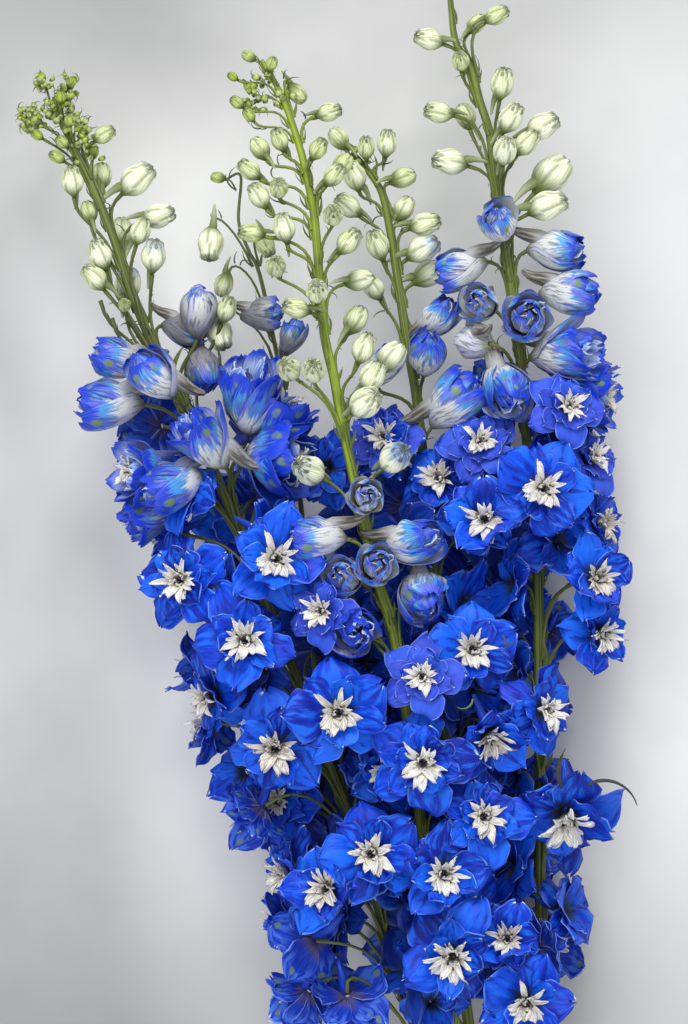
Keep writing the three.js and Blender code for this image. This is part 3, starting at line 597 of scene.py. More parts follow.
def shell_faces(rows, columns):
    """The faces of a closed shell of two grids, front and back, joined round their edge."""
    width = columns + 1
    behind = (rows + 1) * width
    faces = []
    for row in range(rows):
        for column in range(columns):
            a = row * width + column
            ring = (a, a + width, a + width + 1, a + 1)
            faces += [ring, tuple(behind + corner for corner in reversed(ring))]
        left, right = row * width, row * width + columns
        faces.append((left, left + behind, left + width + behind, left + width))
        faces.append((right + width, right + width + behind, right + behind, right))
    for column in range(columns):
        top, foot = rows * width + column, column
        faces.append((top, top + behind, top + 1 + behind, top + 1))
        faces.append((foot + 1, foot + 1 + behind, foot + behind, foot))
    return faces


# %% [markdown]
# ## A horn
# Spurs, stamens and hooks are all round horns on a bent line. One function sweeps a ring along the
# line with a changing radius and closes both ends with a point, so each is a closed body too.


# %% Horn
def horn(line, radii, sides=7, sheet_number=0.0, along=(0.1, 0.1)):
    line = np.asarray(line, float)
    ways = np.gradient(line, axis=0)
    ways /= np.linalg.norm(ways, axis=1, keepdims=True)
    across = unit(np.cross(ways[0], (0.3, 1.0, 0.2)))
    rings = []
    for point, way, radius in zip(line, ways, radii):
        across = unit(across - way * across.dot(way))
        over = np.cross(way, across)
        turn = np.linspace(0, 2 * math.pi, sides, endpoint=False)[:, None]
        rings.append(point + radius * (np.cos(turn) * across + np.sin(turn) * over))
    ends = [line[0] - ways[0] * radii[0] * 0.4, line[-1] + ways[-1] * radii[-1] * 0.8]
    points = np.vstack([*rings, *ends])
    faces = []
    for ring in range(len(line) - 1):
        for side in range(sides):
            a, b = ring * sides + side, ring * sides + (side + 1) % sides
            faces.append((a, b, b + sides, a + sides))
    first, last = len(line) * sides, len(line) * sides + 1
    top = (len(line) - 1) * sides
    for side in range(sides):
        after = (side + 1) % sides
        faces += [(first, after, side), (last, top + side, top + after)]
    share = np.repeat(np.linspace(along[0], along[1], len(line)), sides)
    share = np.concatenate([share, [along[0], along[1]]])
    angle = np.tile(np.linspace(-0.5, 0.5, sides), len(line))
    sheet = np.stack([np.concatenate([angle, [0, 0]]), share, np.full(len(share), sheet_number)], axis=1)
    return points, faces, sheet, np.zeros(len(share)), np.ones(len(share))


# %% [markdown]
# ## The open floret
# Five broad sepals make the outer ring, each a little over its neighbour on one side and under it on the
# other, which is what roll does. Inside stand one or two rings of smaller petals. A spur runs back from
# the upper sepal. All is made one unit wide and scaled when it is placed. Eight different florets are
# enough when each is also turned, scaled and tinted; the hidden ones get coarser grids.


# %% Open florets
def open_floret(seed, rings, coarse=False):
    draw = random.Random(seed)
    shape = Shape()
    steps = (6, 4) if coarse else (12, 8)
    for count, length, width, lean_foot, lean_tip, foot, offset in rings:
        for number in range(count):
            turn = 2 * math.pi * (number + offset + draw.uniform(-0.13, 0.13)) / count
            rise = draw.uniform(-18, 18)
            part = petal(draw, length * draw.uniform(0.82, 1.12), width * draw.uniform(0.80, 1.10),
                         (lean_foot + rise, lean_tip + rise * 1.5 + draw.uniform(-20, 20)), foot=foot,
                         cup=draw.uniform(-0.3, 0.25), ruffle=draw.uniform(0.014, 0.036),
                         roll=draw.uniform(-0.15, 0.32), blunt=draw.uniform(0.5, 0.8),
                         belly=draw.uniform(1.1, 1.6), steps=steps, waves=draw.uniform(1.4, 3.2),
                         curl=draw.uniform(-60, 40), nib=draw.uniform(0.0, 0.07), rag=0.05)
            shape.add(part, turn, draw.uniform(-0.12, 0.12))
    spur = [(0.05, 0, -0.05), (0.08, 0, -0.13), (0.14, 0.01, -0.22), (0.22, 0.02, -0.29),
            (0.29, 0.04, -0.33)]
    shape.add(horn(spur, [0.05, 0.052, 0.044, 0.034, 0.02], sheet_number=3.0, along=(0.25, 0.7)))
    return shape


# A ring of petals: how many, length, width, lean at the foot and at the tip, foot, and share of a turn.
OUTER = (5, 0.50, 0.43, 26, -8, (0.02, -0.06), 0.0)
INNER = (5, 0.39, 0.30, 36, 6, (0.03, -0.04), 0.5)
HEART = (5, 0.30, 0.24, 48, 16, (0.03, -0.03), 0.15)
CLOSE_INNER = (6, 0.38, 0.28, 42, 18, (0.03, -0.04), 0.5)
FLAT_OUTER = (5, 0.50, 0.46, 18, -2, (0.02, -0.05), 0.0)
DROOPING = (5, 0.52, 0.41, 22, -34, (0.02, -0.04), 0.0)
CUPPED = (5, 0.50, 0.43, 44, 16, (0.02, -0.06), 0.0)
OPEN_KINDS = [
    open_floret(11 + number, rings) for number, rings in enumerate((
        [OUTER, INNER], [FLAT_OUTER, INNER], [OUTER, INNER], [DROOPING, INNER],
        [OUTER, CLOSE_INNER, HEART], [CUPPED, CLOSE_INNER], [DROOPING, CLOSE_INNER], [CUPPED, INNER]))
]
ROSETTE_OPEN = 4
HIDDEN_KINDS = [open_floret(21 + number, [OUTER, INNER], coarse=True) for number in range(4)]
print("faces of an open floret:", [len(shape.faces) for shape in OPEN_KINDS])

# %% [markdown]
# ## The bee and the stamens
# The pale heart of a delphinium is called its bee. It isn't a neat star: towards the stem's tip it is a tuft
# of narrow pointed petals that stand up, and on the other side two or three broad cleft ones lie over
# the blue. In the middle thin stamens lean every way. Both are separate pieces, because their finish is
# another.


# %% Bees
def bee(seed, starry):
    draw = random.Random(seed)
    shape = Shape()
    count = 16 if starry else 13
    for number in range(count):
        turn = 2 * math.pi * (number + draw.uniform(-0.4, 0.4)) / count
        upper = math.cos(turn) > (-0.75 if starry else -0.4)
        length = draw.uniform(0.17, 0.30) if upper else draw.uniform(0.19, 0.30)
        width = draw.uniform(0.034, 0.052) if upper else draw.uniform(0.070, 0.10)
        lean_tip = draw.uniform(5, 65) if upper else draw.uniform(-10, 34)
        shape.add(petal(draw, length, width, (draw.uniform(64, 86), lean_tip), foot=(0.03, 0.02),
                        cup=draw.uniform(0.1, 0.7), ruffle=draw.uniform(0.006, 0.018), claw=0.6, belly=1.3,
                        blunt=draw.uniform(0.7, 1.0) if upper else 0.7, roll=draw.uniform(-0.5, 0.5),
                        notch=0.0 if upper else draw.uniform(0.10, 0.25), curl=draw.uniform(-60, 30),
                        nib=draw.uniform(0.03, 0.10), steps=(7, 4), thick=0.010,
                        waves=1.5, rag=0.06), turn)
    for number in range(4):
        turn = 2 * math.pi * (number + draw.uniform(-0.3, 0.3)) / 4
        shape.add(petal(draw, draw.uniform(0.10, 0.14), 0.045, (84, draw.uniform(50, 110)),
                        foot=(0.035, 0.03), cup=0.5, ruffle=0.01, claw=0.6, blunt=0.9, steps=(6, 4),
                        thick=0.010, rag=0.06), turn)
    return shape


GOLDEN_SHARE = 0.382  # of a turn: seeds and stamens follow one another by it
STAMENS, STAMEN_HEIGHT = 14, 0.13


def stamens(seed):
    draw = random.Random(seed)
    shape = Shape()
    for number in range(STAMENS):
        turn = 2 * math.pi * (number * GOLDEN_SHARE + draw.uniform(-0.05, 0.05))
        away = 0.014 + 0.072 * math.sqrt(number / STAMENS)
        tall = STAMEN_HEIGHT * draw.uniform(0.7, 1.15)
        line = [(0.008, 0, 0.0), (away * 0.5, 0, tall * 0.5), (away, 0, tall * 0.86)]
        shape.add(horn(line, [0.005, 0.004, 0.004], sides=4, along=(0.2, 0.5)), turn)
        top = [(away, 0, tall * 0.84), (away * 1.1 + 0.004, 0, tall * 0.93), (away * 1.2 + 0.008, 0, tall)]
        shape.add(horn(top, [0.005, 0.012, 0.006], sides=5, sheet_number=number * 1.7, along=(0.8, 1.0)),
                  turn)
    return shape


BEE_KINDS = [bee(31 + number, starry=number in (0, 2, 5)) for number in range(8)]
STAMEN_KINDS = [stamens(41 + number) for number in range(3)]
print("faces of a bee:", [len(shape.faces) for shape in BEE_KINDS])

# %% [markdown]
# ## The half-open floret
# Before it opens flat a floret is a goblet. Five sepals start almost level, turn up and wrap round the
# axis, and five narrower ones stand in the gaps behind them. Their tips curl in while it is shut and out
# once it opens. Smaller petals crowd inside. The spur is thick and long and sticks out behind. The six
# kinds are nearly shut, a goblet, a rosette, a wide fan, a loose goblet and a ring seen from above.


# %% Half-open florets
def half_open(seed, leans, curl, wide, reach):
    draw = random.Random(seed)
    shape = Shape()
    for ring, (closer, slimmer, longer) in enumerate(((0, 1.0, 1.0), (8, 0.74, 1.02))):
        for number in range(5):
            turn = 2 * math.pi * (number + ring / 2 + draw.uniform(-0.08, 0.08)) / 5
            more = closer + draw.uniform(-5, 5)
            length = reach * longer * draw.uniform(0.93, 1.07)
            width = wide * slimmer * draw.uniform(0.92, 1.08)
            shape.add(petal(draw, length, width, (leans[0] + more, leans[1] + more * 1.5),
                            foot=(0.05 - 0.02 * ring, -0.90 + 0.05 * ring), roll=0.14,
                            ruffle=draw.uniform(0.015, 0.045), wrap=0.92, claw=0.45, belly=1.05,
                            blunt=draw.uniform(0.36, 0.48), steps=(10, 6) if ring else (12, 8), thick=0.014,
                            waves=draw.uniform(1.4, 3.0), curl=curl + draw.uniform(-18, 18),
                            notch=draw.uniform(0.0, 0.06), nib=draw.uniform(0.0, 0.03), rag=0.022), turn)
    return shape


def half_open_heart(seed, leans, wide, reach):
    draw = random.Random(seed)
    shape = Shape()
    for number in range(7):
        turn = 2 * math.pi * (number + 0.5 + draw.uniform(-0.2, 0.2)) / 7
        shape.add(petal(draw, reach * draw.uniform(0.8, 1.08), wide * draw.uniform(0.8, 1.15),
                        (leans[0], leans[1] + draw.uniform(-12, 18)), foot=(0.03, -0.68),
                        ruffle=draw.uniform(0.03, 0.07), wrap=0.7, claw=0.3, belly=1.3, roll=0.2,
                        blunt=0.6, steps=(8, 4), thick=0.016, notch=draw.uniform(0.0, 0.08),
                        curl=draw.uniform(-30, 40), rag=0.05), turn)
    return shape


SHUT, GOBLET, ROSETTE, FAN, LOOSE_GOBLET, RING = range(6)
CUP_KINDS = [half_open(51 + number, *values) for number, values in enumerate((
    ((44, 106), 78, 0.90, 1.24), ((44, 100), 52, 0.88, 1.24), ((28, 76), -8, 0.84, 1.06),
    ((46, 88), -12, 0.84, 1.18), ((44, 96), 34, 0.86, 1.22), ((48, 94), 24, 0.82, 1.14)))]
CUP_HEART_KINDS = [half_open_heart(61 + number, *values) for number, values in enumerate((
    ((48, 158), 0.42, 0.92), ((50, 140), 0.42, 0.94), ((34, 84), 0.50, 0.80),
    ((50, 108), 0.44, 0.94), ((50, 124), 0.44, 0.96), ((52, 112), 0.46, 0.98)))]


def cup_spur(seed):
    draw = random.Random(seed)
    side = draw.uniform(-0.14, 0.14)
    line = [(0.20, 0, -0.44), (0.26, side * 0.2, -0.62), (0.30, side * 0.5, -0.80),
            (0.34, side, -0.98), (0.40, side * 1.2, -1.12), (0.48, side * 1.3, -1.24)]
    shape = Shape()
    radii = [0.14, 0.17, 0.15, 0.12, 0.09, 0.055]
    shape.add(horn(line, radii, sides=10, sheet_number=5.0, along=(0.2, 0.8)))
    return shape


SPUR_KINDS = [cup_spur(71 + number) for number in range(3)]
print("faces of a half-open floret:", [len(shape.faces) for shape in CUP_KINDS])

# %% [markdown]
# ## The bud
# A bud is shut: its sepals meet in five seams that wind a little, and their tips fold over at the blunt end,
# which the larger ones pinch in a little below. A single round body says that best. Its radius follows a
# listed profile, a bulge between the seams makes the sepals, and a saw tooth gives each of them one free
# edge. The young spur runs back beside the stalk.


# %% Buds
EGG = [(0, 0.12), (0.12, 0.42), (0.30, 0.84), (0.50, 1.0), (0.68, 0.97), (0.84, 0.80), (0.94, 0.55),
       (1, 0.12)]
BLUNT = [(0, 0.12), (0.10, 0.34), (0.28, 0.80), (0.48, 1.0), (0.66, 0.95), (0.80, 0.76), (0.90, 0.72),
         (0.97, 0.5), (1, 0.12)]
SEPALS, BUD_RADIUS = 5, 0.345


def bud(seed, profile, spur, rows=14, columns=28):
    draw = random.Random(seed)
    along = (1 - np.cos(np.linspace(0, math.pi, rows + 1))) / 2
    turn = np.linspace(0, 2 * math.pi, columns, endpoint=False)
    s, angle = np.meshgrid(along[1:-1], turn, indexing="ij")
    tooth = (SEPALS * (angle / (2 * math.pi)) + 0.35 * s + draw.random()) % 1.0
    drawn = smooth_path(profile)
    egg = np.interp(s, drawn[:, 0], drawn[:, 1])
    end = np.clip((s - 0.80) / 0.2, 0, 1)
    bulge = np.sin(math.pi * tooth)**0.6
    lobe = 0.90 + 0.11 * bulge + 0.06 * (tooth - 0.5) + end * 0.22 * (bulge - 0.75)
    radius = BUD_RADIUS * egg * lobe
    side_way = 0.03 * np.sin(math.pi * s)
    points = np.stack([radius * np.cos(angle) + side_way, radius * np.sin(angle),
                       s - 0.5 + end * 0.07 * (bulge - 0.4)], axis=2).reshape(-1, 3)
    points = np.vstack([points, [[0, 0, -0.5], [0, 0, 0.46]]])
    faces = []
    rings = rows - 1
    for ring in range(rings - 1):
        for side in range(columns):
            a, b = ring * columns + side, ring * columns + (side + 1) % columns
            faces.append((a, b, b + columns, a + columns))
    foot, top, last = rings * columns, rings * columns + 1, (rings - 1) * columns
    for side in range(columns):
        after = (side + 1) % columns
        faces += [(foot, after, side), (top, last + side, last + after)]
    sheet = np.stack([tooth - 0.5, s, np.floor(SEPALS * angle / (2 * math.pi)) * 1.9], axis=2).reshape(-1, 3)
    sheet = np.vstack([sheet, [[0, 0, 0], [0, 1, 0]]])
    seam = np.concatenate([((tooth > 0.92) | (tooth < 0.08)).astype(float).ravel(), [0, 0]])
    shape = Shape()
    shape.add((points, faces, sheet, seam, np.zeros(len(points))))
    if spur:
        line = [(0.07, 0, -0.22), (0.18, 0, -0.40), (0.22, 0.01, -0.60), (0.22, 0.02, -0.82),
                (0.20, 0.03, -0.98)]
        shape.add(horn(line, [0.12, 0.11, 0.08, 0.055, 0.03], sides=8, along=(0.12, 0.3)))
    return shape


BUD_KINDS = [
    bud(81, EGG, False, rows=9, columns=20), bud(82, EGG, True), bud(83, BLUNT, True),
    bud(84, BLUNT, True), bud(85, EGG, False, rows=7, columns=10),
]
YOUNG_BUD, CRUMB = 0, 4
print("faces of a bud:", [len(shape.faces) for shape in BUD_KINDS])

# %% [markdown]
# ## Bracts
# Each floret stalk starts above a narrow leaf, the bract, and carries two tiny hooked ones. A bract is the
# petal function again with a long thin outline. A hook is a thin bent horn, and one kind, for the dry hook
# that stands out at the right, is long and fine. All stand on their foot and lean outwards, one unit long.


# %% Bracts
def bract_leaf(seed, width, lean_tip, steps):
    draw = random.Random(seed)
    shape = Shape()
    shape.add(petal(draw, 1.0, width, (86, lean_tip), foot=(0.0, 0.0), cup=0.5, ruffle=0.02, claw=0.5,
                    belly=0.8, blunt=0.9, steps=steps, thick=0.02, waves=1.0))
    return shape


def hook(seed, curl, joints=6, girth=1.0, sides=5):
    draw = random.Random(seed)
    angles = np.radians(np.linspace(80, 80 - curl, joints) + draw.uniform(-5, 5))
    steps = np.stack([np.cos(angles), 0 * angles, np.sin(angles)], axis=1) * 1.08 / joints
    line = np.cumsum(steps, axis=0)
    taper = np.interp(np.linspace(0, 5, joints), range(6), [0.045, 0.05, 0.045, 0.035, 0.025, 0.012])
    shape = Shape()
    shape.add(horn(line, taper * girth, sides=sides, along=(0.1, 0.9)))
    return shape


LEAF_KINDS = [
    bract_leaf(91, 0.15, 20, (10, 4)), bract_leaf(92, 0.13, -30, (10, 4)), bract_leaf(93, 0.14, 35, (6, 3)),
    hook(94, 70), hook(95, 120), hook(96, 105, joints=18, girth=0.62, sides=8),
]
LEAF, CURLED_LEAF, SMALL_LEAF, HOOK, TIGHT_HOOK, LONG_HOOK = range(6)
print("faces of bracts and hooks:", [len(shape.faces) for shape in LEAF_KINDS])

# %% [markdown]
# ## Two Geometry Nodes trees
# Hundreds of florets and stalks repeat a few shapes, so Geometry Nodes places them. The first tree puts one
# of several kinds on each point of a mesh, turned, scaled and picked by values that the point carries, with
# a small seeded wobble. The second sweeps a ridged ring along every line of a mesh, as thick as the line
# says. Both end in real geometry with its material, since instances are lost when the model is exported.


# %% Growth: a node tree in the making
class Growth(Wiring):
    def __init__(self, name, **knobs):
        """Each knob is a kind of socket, and the value that it starts with if it has one."""
        self.tree = bpy.data.node_groups.new(name, "GeometryNodeTree")
        self.tree.interface.new_socket("Geometry", in_out="OUTPUT", socket_type="NodeSocketGeometry")
        for knob, (kind, *value) in {"Geometry": ("Geometry",), **knobs}.items():
            made = self.tree.interface.new_socket(knob, in_out="INPUT", socket_type=f"NodeSocket{kind}")
            if value:
                made.default_value = value[0]
        self.inputs = self.tree.nodes.new("NodeGroupInput")
        self.output = self.tree.nodes.new("NodeGroupOutput")

    def given(self, name):
        return self.inputs.outputs[name]

    def stored(self, name, kind="FLOAT"):
        return self.node("GeometryNodeInputNamedAttribute", {"data_type": kind}, Name=name).outputs[0]

    def close(self, geometry):
        """Smooth shading and the skin, and then the tree is done."""
        smooth = self.node("GeometryNodeSetShadeSmooth", Geometry=geometry)
        skinned = self.node("GeometryNodeSetMaterial", Geometry=smooth.outputs[0],
                            Material=self.given("Skin"))
        self.plug(self.output.inputs[0], skinned.outputs[0])
        return self.tree


def scatter_tree():
    growth = Growth("place_on_points", Kinds=("Collection",), Size=("Float", 1.0), Wobble=("Float", 0.0),
                    Seed=("Int", 1), Skin=("Material",))
    kinds = growth.node("GeometryNodeCollectionInfo", Collection=growth.given("Kinds"),
                        Separate_Children=True, Reset_Children=True)
    drawn = growth.node("FunctionNodeRandomValue", {"data_type": "FLOAT_VECTOR"}, Seed=growth.given("Seed"))
    drawn.inputs[0].default_value = (-1, -1, -1)
    drawn.inputs[1].default_value = (1, 1, 1)
    swing = growth.node("ShaderNodeVectorMath", {"operation": "SCALE"}, Scale=growth.given("Wobble"))
    growth.plug(swing.inputs[0], drawn.outputs[0])
    wobble = growth.node("FunctionNodeEulerToRotation", Euler=swing.outputs[0])
    turn = growth.node("FunctionNodeEulerToRotation", Euler=growth.stored("turn", "FLOAT_VECTOR"))
    turned = growth.node("FunctionNodeRotateRotation", {"rotation_space": "LOCAL"},
                         Rotation=turn.outputs[0], Rotate_By=wobble.outputs[0])
    placed = growth.node("GeometryNodeInstanceOnPoints", Points=growth.given("Geometry"),
                         Instance=kinds.outputs[0], Pick_Instance=True,
                         Instance_Index=growth.stored("kind", "INT"), Rotation=turned.outputs[0],
                         Scale=growth.times(growth.stored("size"), growth.given("Size")))
    real = growth.node("GeometryNodeRealizeInstances", Geometry=placed.outputs[0])
    return growth.close(real.outputs[0])


def sweep_tree():
    growth = Growth("sweep_along_lines", Thickness=("Float", 1.0), Ridges=("Int", 5), Groove=("Float", 0.1),
                    Skin=("Material",))
    lines = growth.node("GeometryNodeMeshToCurve", Mesh=growth.given("Geometry"))
    ring = growth.node("GeometryNodeCurveStar", Points=growth.given("Ridges"), Outer_Radius=1.0,
                       Inner_Radius=growth.minus(1.0, growth.given("Groove")))
    place = growth.node("GeometryNodeInputPosition")
    marked = growth.node("GeometryNodeStoreNamedAttribute", {"data_type": "FLOAT_VECTOR"},
                         Geometry=ring.outputs[0], Name="round")
    growth.plug(marked.inputs["Value"], place.outputs[0])
    swept = growth.node("GeometryNodeCurveToMesh", Curve=lines.outputs[0], Profile_Curve=marked.outputs[0],
                        Scale=growth.times(growth.stored("thick"), growth.given("Thickness")),
                        Fill_Caps=True)
    return growth.close(swept.outputs[0])


SCATTER, SWEEP = scatter_tree(), sweep_tree()
print("trees:", [tree.name for tree in (SCATTER, SWEEP)])

# %% [markdown]
# ## From a tree to a plain piece
# The tree runs as a modifier on a mesh of bare points or lines. Its inputs are set by identifier, the result
# is copied into a mesh of its own, and the modifier goes. What would sink into the table is then eased up,
# and what would stand out of the frame's box is eased down: a soft curve keeps the order of all heights,
# so that a petal pressed on the table stays whole.


# %% Growing and settling
SHY_OF_TABLE = 0.3 * MM
HIGHEST = cad_box[1][2] + 2 * MM
EASE = 2.2 * MM


def grown(name, mesh, tree, **values):
    piece = bpy.data.objects.new(name, mesh)
    bpy.context.scene.collection.objects.link(piece)
    modifier = piece.modifiers.new("growth", "NODES")
    modifier.node_group = tree
    sockets = {item.name: item.identifier for item in tree.interface.items_tree if item.in_out == "INPUT"}
    for knob, value in values.items():
        modifier[sockets[knob.capitalize()]] = value
    bpy.context.view_layer.update()
    ready = bpy.context.evaluated_depsgraph_get()
    plain = bpy.data.meshes.new_from_object(piece.evaluated_get(ready), preserve_all_data_layers=True,
                                            depsgraph=ready)
    piece.modifiers.remove(modifier)
    piece.data = plain
    settle(plain)
    return piece


def settle(mesh):
    """Eases what lies too low up to the table's surface, and what stands too high down to the box."""
    points = np.empty(len(mesh.vertices) * 3, np.float32)
    mesh.vertices.foreach_get("co", points)
    points = points.reshape(-1, 3)
    above = (points[:, 2] - SHY_OF_TABLE) / EASE
    points[:, 2] = SHY_OF_TABLE + EASE * np.logaddexp(0, above)
    points[:, 2] = HIGHEST - EASE * np.logaddexp(0, (HIGHEST - points[:, 2]) / EASE)
    mesh.vertices.foreach_set("co", points.ravel())


def dress(piece, slot, *nodes):
    """Hangs the piece under the root, hides the frame's solids that it stands for, and prints its triangles.
    The slot is not used.
    """
    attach(piece, "root")
    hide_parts(*nodes)
    print(f"{piece.name:22} {sum(len(face.vertices) - 2 for face in piece.data.polygons):7} triangles")


def shelf(name, shapes):
    """The kinds that a tree picks from, in a collection that is in no scene."""
    kinds = bpy.data.collections.new(name)
    for number, shape in enumerate(shapes):
        label = f"{name}_{number}"
        kinds.objects.link(bpy.data.objects.new(label, shape.mesh(label)))
    return kinds


def spots_mesh(name, spots):
    """A mesh of bare points, one for each spot: its place, turn, size, kind and tone."""
    mesh = bpy.data.meshes.new(name)
    mesh.from_pydata(to_frame([one["at"] for one in spots]).tolist(), [], [])
    for key, kind, field in (("turn", "FLOAT_VECTOR", "vector"), ("size", "FLOAT", "value"),
                             ("kind", "INT", "value"), ("tone", "FLOAT", "value")):
        layer = mesh.attributes.new(key, kind, "POINT")
        layer.data.foreach_set(field, np.array([one[key] for one in spots]).ravel().tolist())
    return mesh


def lines_mesh(name, lines):
    """A mesh of bare lines: each has its points, its thickness at every point, and its tone."""
    points, edges, thick, along, tone = [], [], [], [], []
    for line in lines:
        first, count = len(points), len(line["points"])
        points += list(line["points"])
        edges += [(first + step, first + step + 1) for step in range(count - 1)]
        thick += list(np.broadcast_to(line["thick"], count) * MM)
        along += list(np.linspace(0, 1, count))
        tone += [line["tone"]] * count
    mesh = bpy.data.meshes.new(name)
    mesh.from_pydata(to_frame(points).tolist(), edges, [])
    for key, values in (("thick", thick), ("along", along), ("tone", tone)):
        mesh.attributes.new(key, "FLOAT", "POINT").data.foreach_set("value", values)
    return mesh


KINDS = {
    "open": shelf("open", OPEN_KINDS + HIDDEN_KINDS), "bee": shelf("bee", BEE_KINDS),
    "stamen": shelf("stamen", STAMEN_KINDS), "cup": shelf("cup", CUP_KINDS),
    "heart": shelf("heart", CUP_HEART_KINDS), "spur": shelf("spur", SPUR_KINDS),
    "bud": shelf("bud", BUD_KINDS), "leaf": shelf("leaf", LEAF_KINDS),
}

# %% [markdown]
# ## Blue sepals
# The blue isn't one colour: fine veins run from the claw to the tip, lighter than the blade, with darker
# clouds across them. The foot near the bee is olive, darkened with painted shade where it lies under the bee,
# the edge is a thin pale line, and the outer side is duller and more violet with a greenish spot under the
# tip. Florets deep in the bunch are darkened with painted shade, and some tips carry a small painted glint.
# Each of these is one mask from the values stored on the petal, laid over the colour before it.


# %% Sepal skin
MIDNIGHT, ROYAL, AZURE = (0.003, 0.010, 0.28), (0.003, 0.046, 0.64), (0.008, 0.130, 0.90)
LILAC, GLOW, SHADE = (0.030, 0.040, 0.60), (0.012, 0.165, 0.92), (0.003, 0.008, 0.19)
VEIN, VIOLET = (0.020, 0.150, 0.95), (0.060, 0.095, 0.66)
# The first colour on the next line is the foot's olive, darkened with painted shade where it lies under the
# bee.
SHADED_OLIVE_FOOT, PURPLE_FOOT, GREEN_SPOT = (0.024, 0.036, 0.016), (0.085, 0.070, 0.21), (0.16, 0.26, 0.12)
# On the next line the second colour is painted shade for florets deep in the bunch, and the third a small
# painted glint at some tips.
PALE_RIM, DEEP_FLORET_SHADE, TIP_GLINT = (0.24, 0.37, 0.95), (0.004, 0.012, 0.12), (0.75, 0.85, 0.95)
TIP_SPOT = (0.80, (7.0, 9.0))  # where along a sepal its spot is, and how tight it is across and along


def sepal_skin():
    skin = Skin("blue_sepal", roughness=0.5, specular=0.2)
    across, along, number = skin.split(skin.stored("sheet", vector=True))
    tone, rim, back = (skin.stored(name) for name in ("tone", "rim", "back"))
    own = skin.times(tone, 13.0)
    place = skin.node("ShaderNodeCombineXYZ", X=across, Y=along, Z=skin.plus(number, own)).outputs[0]
    vein = skin.noise(place, 1.0, 3.0, stretch=(38, 2.6, 1))
    cloud = skin.noise(place, 1.0, 2.5, stretch=(7.0, 2.4, 1), shift=7.0)
    drawn = skin.node("ShaderNodeTexWhiteNoise", {"noise_dimensions": "1D"}, W=skin.plus(number, own))
    own_shade = drawn.outputs["Value"]
    blade = skin.mix(skin.between(own_shade, 0.0, 0.5), MIDNIGHT, ROYAL)
    blade = skin.mix(skin.between(own_shade, 0.5, 0.85), blade, AZURE)
    lilac = skin.between(own_shade, 0.88, 0.94)
    blade = skin.mix(skin.times(lilac, 0.8), blade, LILAC)
    glow = skin.times(skin.between(cloud, 0.48, 0.64), 0.7)
    blade = skin.mix(glow, blade, GLOW)
    shade = skin.times(skin.between(cloud, 0.46, 0.34), 0.7)
    blade = skin.mix(shade, blade, SHADE)
    faint = skin.times(skin.between(vein, 0.50, 0.80), 0.4)
    blade = skin.mix(faint, blade, VEIN)
    violet = skin.between(tone, 0.62, 0.95)
    blade = skin.mix(skin.times(violet, 0.6), blade, VIOLET)
    # the foot near the bee: olive, and darker with painted shade under the bee
    foot = skin.between(along, 0.42, 0.12)
    blade = skin.mix(skin.times(foot, 0.9), blade, SHADED_OLIVE_FOOT)
    outer = skin.mix(skin.between(vein, 0.40, 0.70), (0.006, 0.026, 0.40), (0.020, 0.085, 0.66))
    bright = skin.times(skin.between(cloud, 0.44, 0.60), skin.between(along, 0.35, 0.65))
    outer = skin.mix(skin.times(bright, 0.8), outer, (0.075, 0.200, 0.84))
    outer = skin.mix(skin.between(along, 0.34, 0.10), outer, PURPLE_FOOT)
    spot = skin.spot(across, along, *TIP_SPOT)
    outer = skin.mix(skin.times(spot, 0.8), outer, GREEN_SPOT)
    colour = skin.mix(back, blade, outer)
    rimmed = skin.maths("MAXIMUM", skin.times(skin.between(cloud, 0.40, 0.60), 0.85), violet)
    edge = skin.times(skin.maths("POWER", rim, 1.5), rimmed)
    colour = skin.mix(skin.times(edge, 0.85), colour, PALE_RIM)
    # painted shade: florets deep in the bunch, known by their low tone, are darkened
    deep = skin.between(tone, -0.7, -0.95)
    colour = skin.mix(skin.times(deep, 0.6), colour, DEEP_FLORET_SHADE)
    # a small painted glint at the tip of some sepals
    tip_glint = skin.times(skin.between(along, 0.93, 0.99), skin.between(cloud, 0.60, 0.66))
    colour = skin.mix(tip_glint, colour, TIP_GLINT)
    return skin.finish(colour, bump=vein, strength=0.35, depth=0.0004)


# %% [markdown]
# ## Half-open florets
# While it opens, a floret turns from greenish white to blue, rim first. The tone of each one says how ripe it
# is, and moves the border between pale and blue along the sepal. Inside it is pale until it is ripe, with
# painted shade deep in the throat and at the foot of the crumpled heart, and painted shade lies in the
# creases outside. The ones low between the left and the front stem get painted shade, where the bunch shades
# them, and so read their place in Object coordinates.


# %% Cup skins
YOUNG, PALE, MAUVE = (0.26, 0.28, 0.13), (0.72, 0.74, 0.72), (0.52, 0.50, 0.78)
SKY, PERIWINKLE, DEEP_BLUE = (0.070, 0.330, 0.76), (0.130, 0.170, 0.76), (0.004, 0.046, 0.66)
# Painted shade on the next line: in the creases, on the cups that the bunch shades, and deep in the throat.
CREASE_SHADE, BUNCH_SHADE_GREY, THROAT_SHADE = (0.09, 0.10, 0.13), (0.075, 0.070, 0.095), (0.05, 0.045, 0.05)
LOW_DOWN = (0.080, 0.066)  # the heights between which the shade of the bunch begins, in metres
SHADE_RIGHT, SHADE_LEFT = (0.03, -0.005), (-0.105, -0.075)  # and its borders to the right and the left


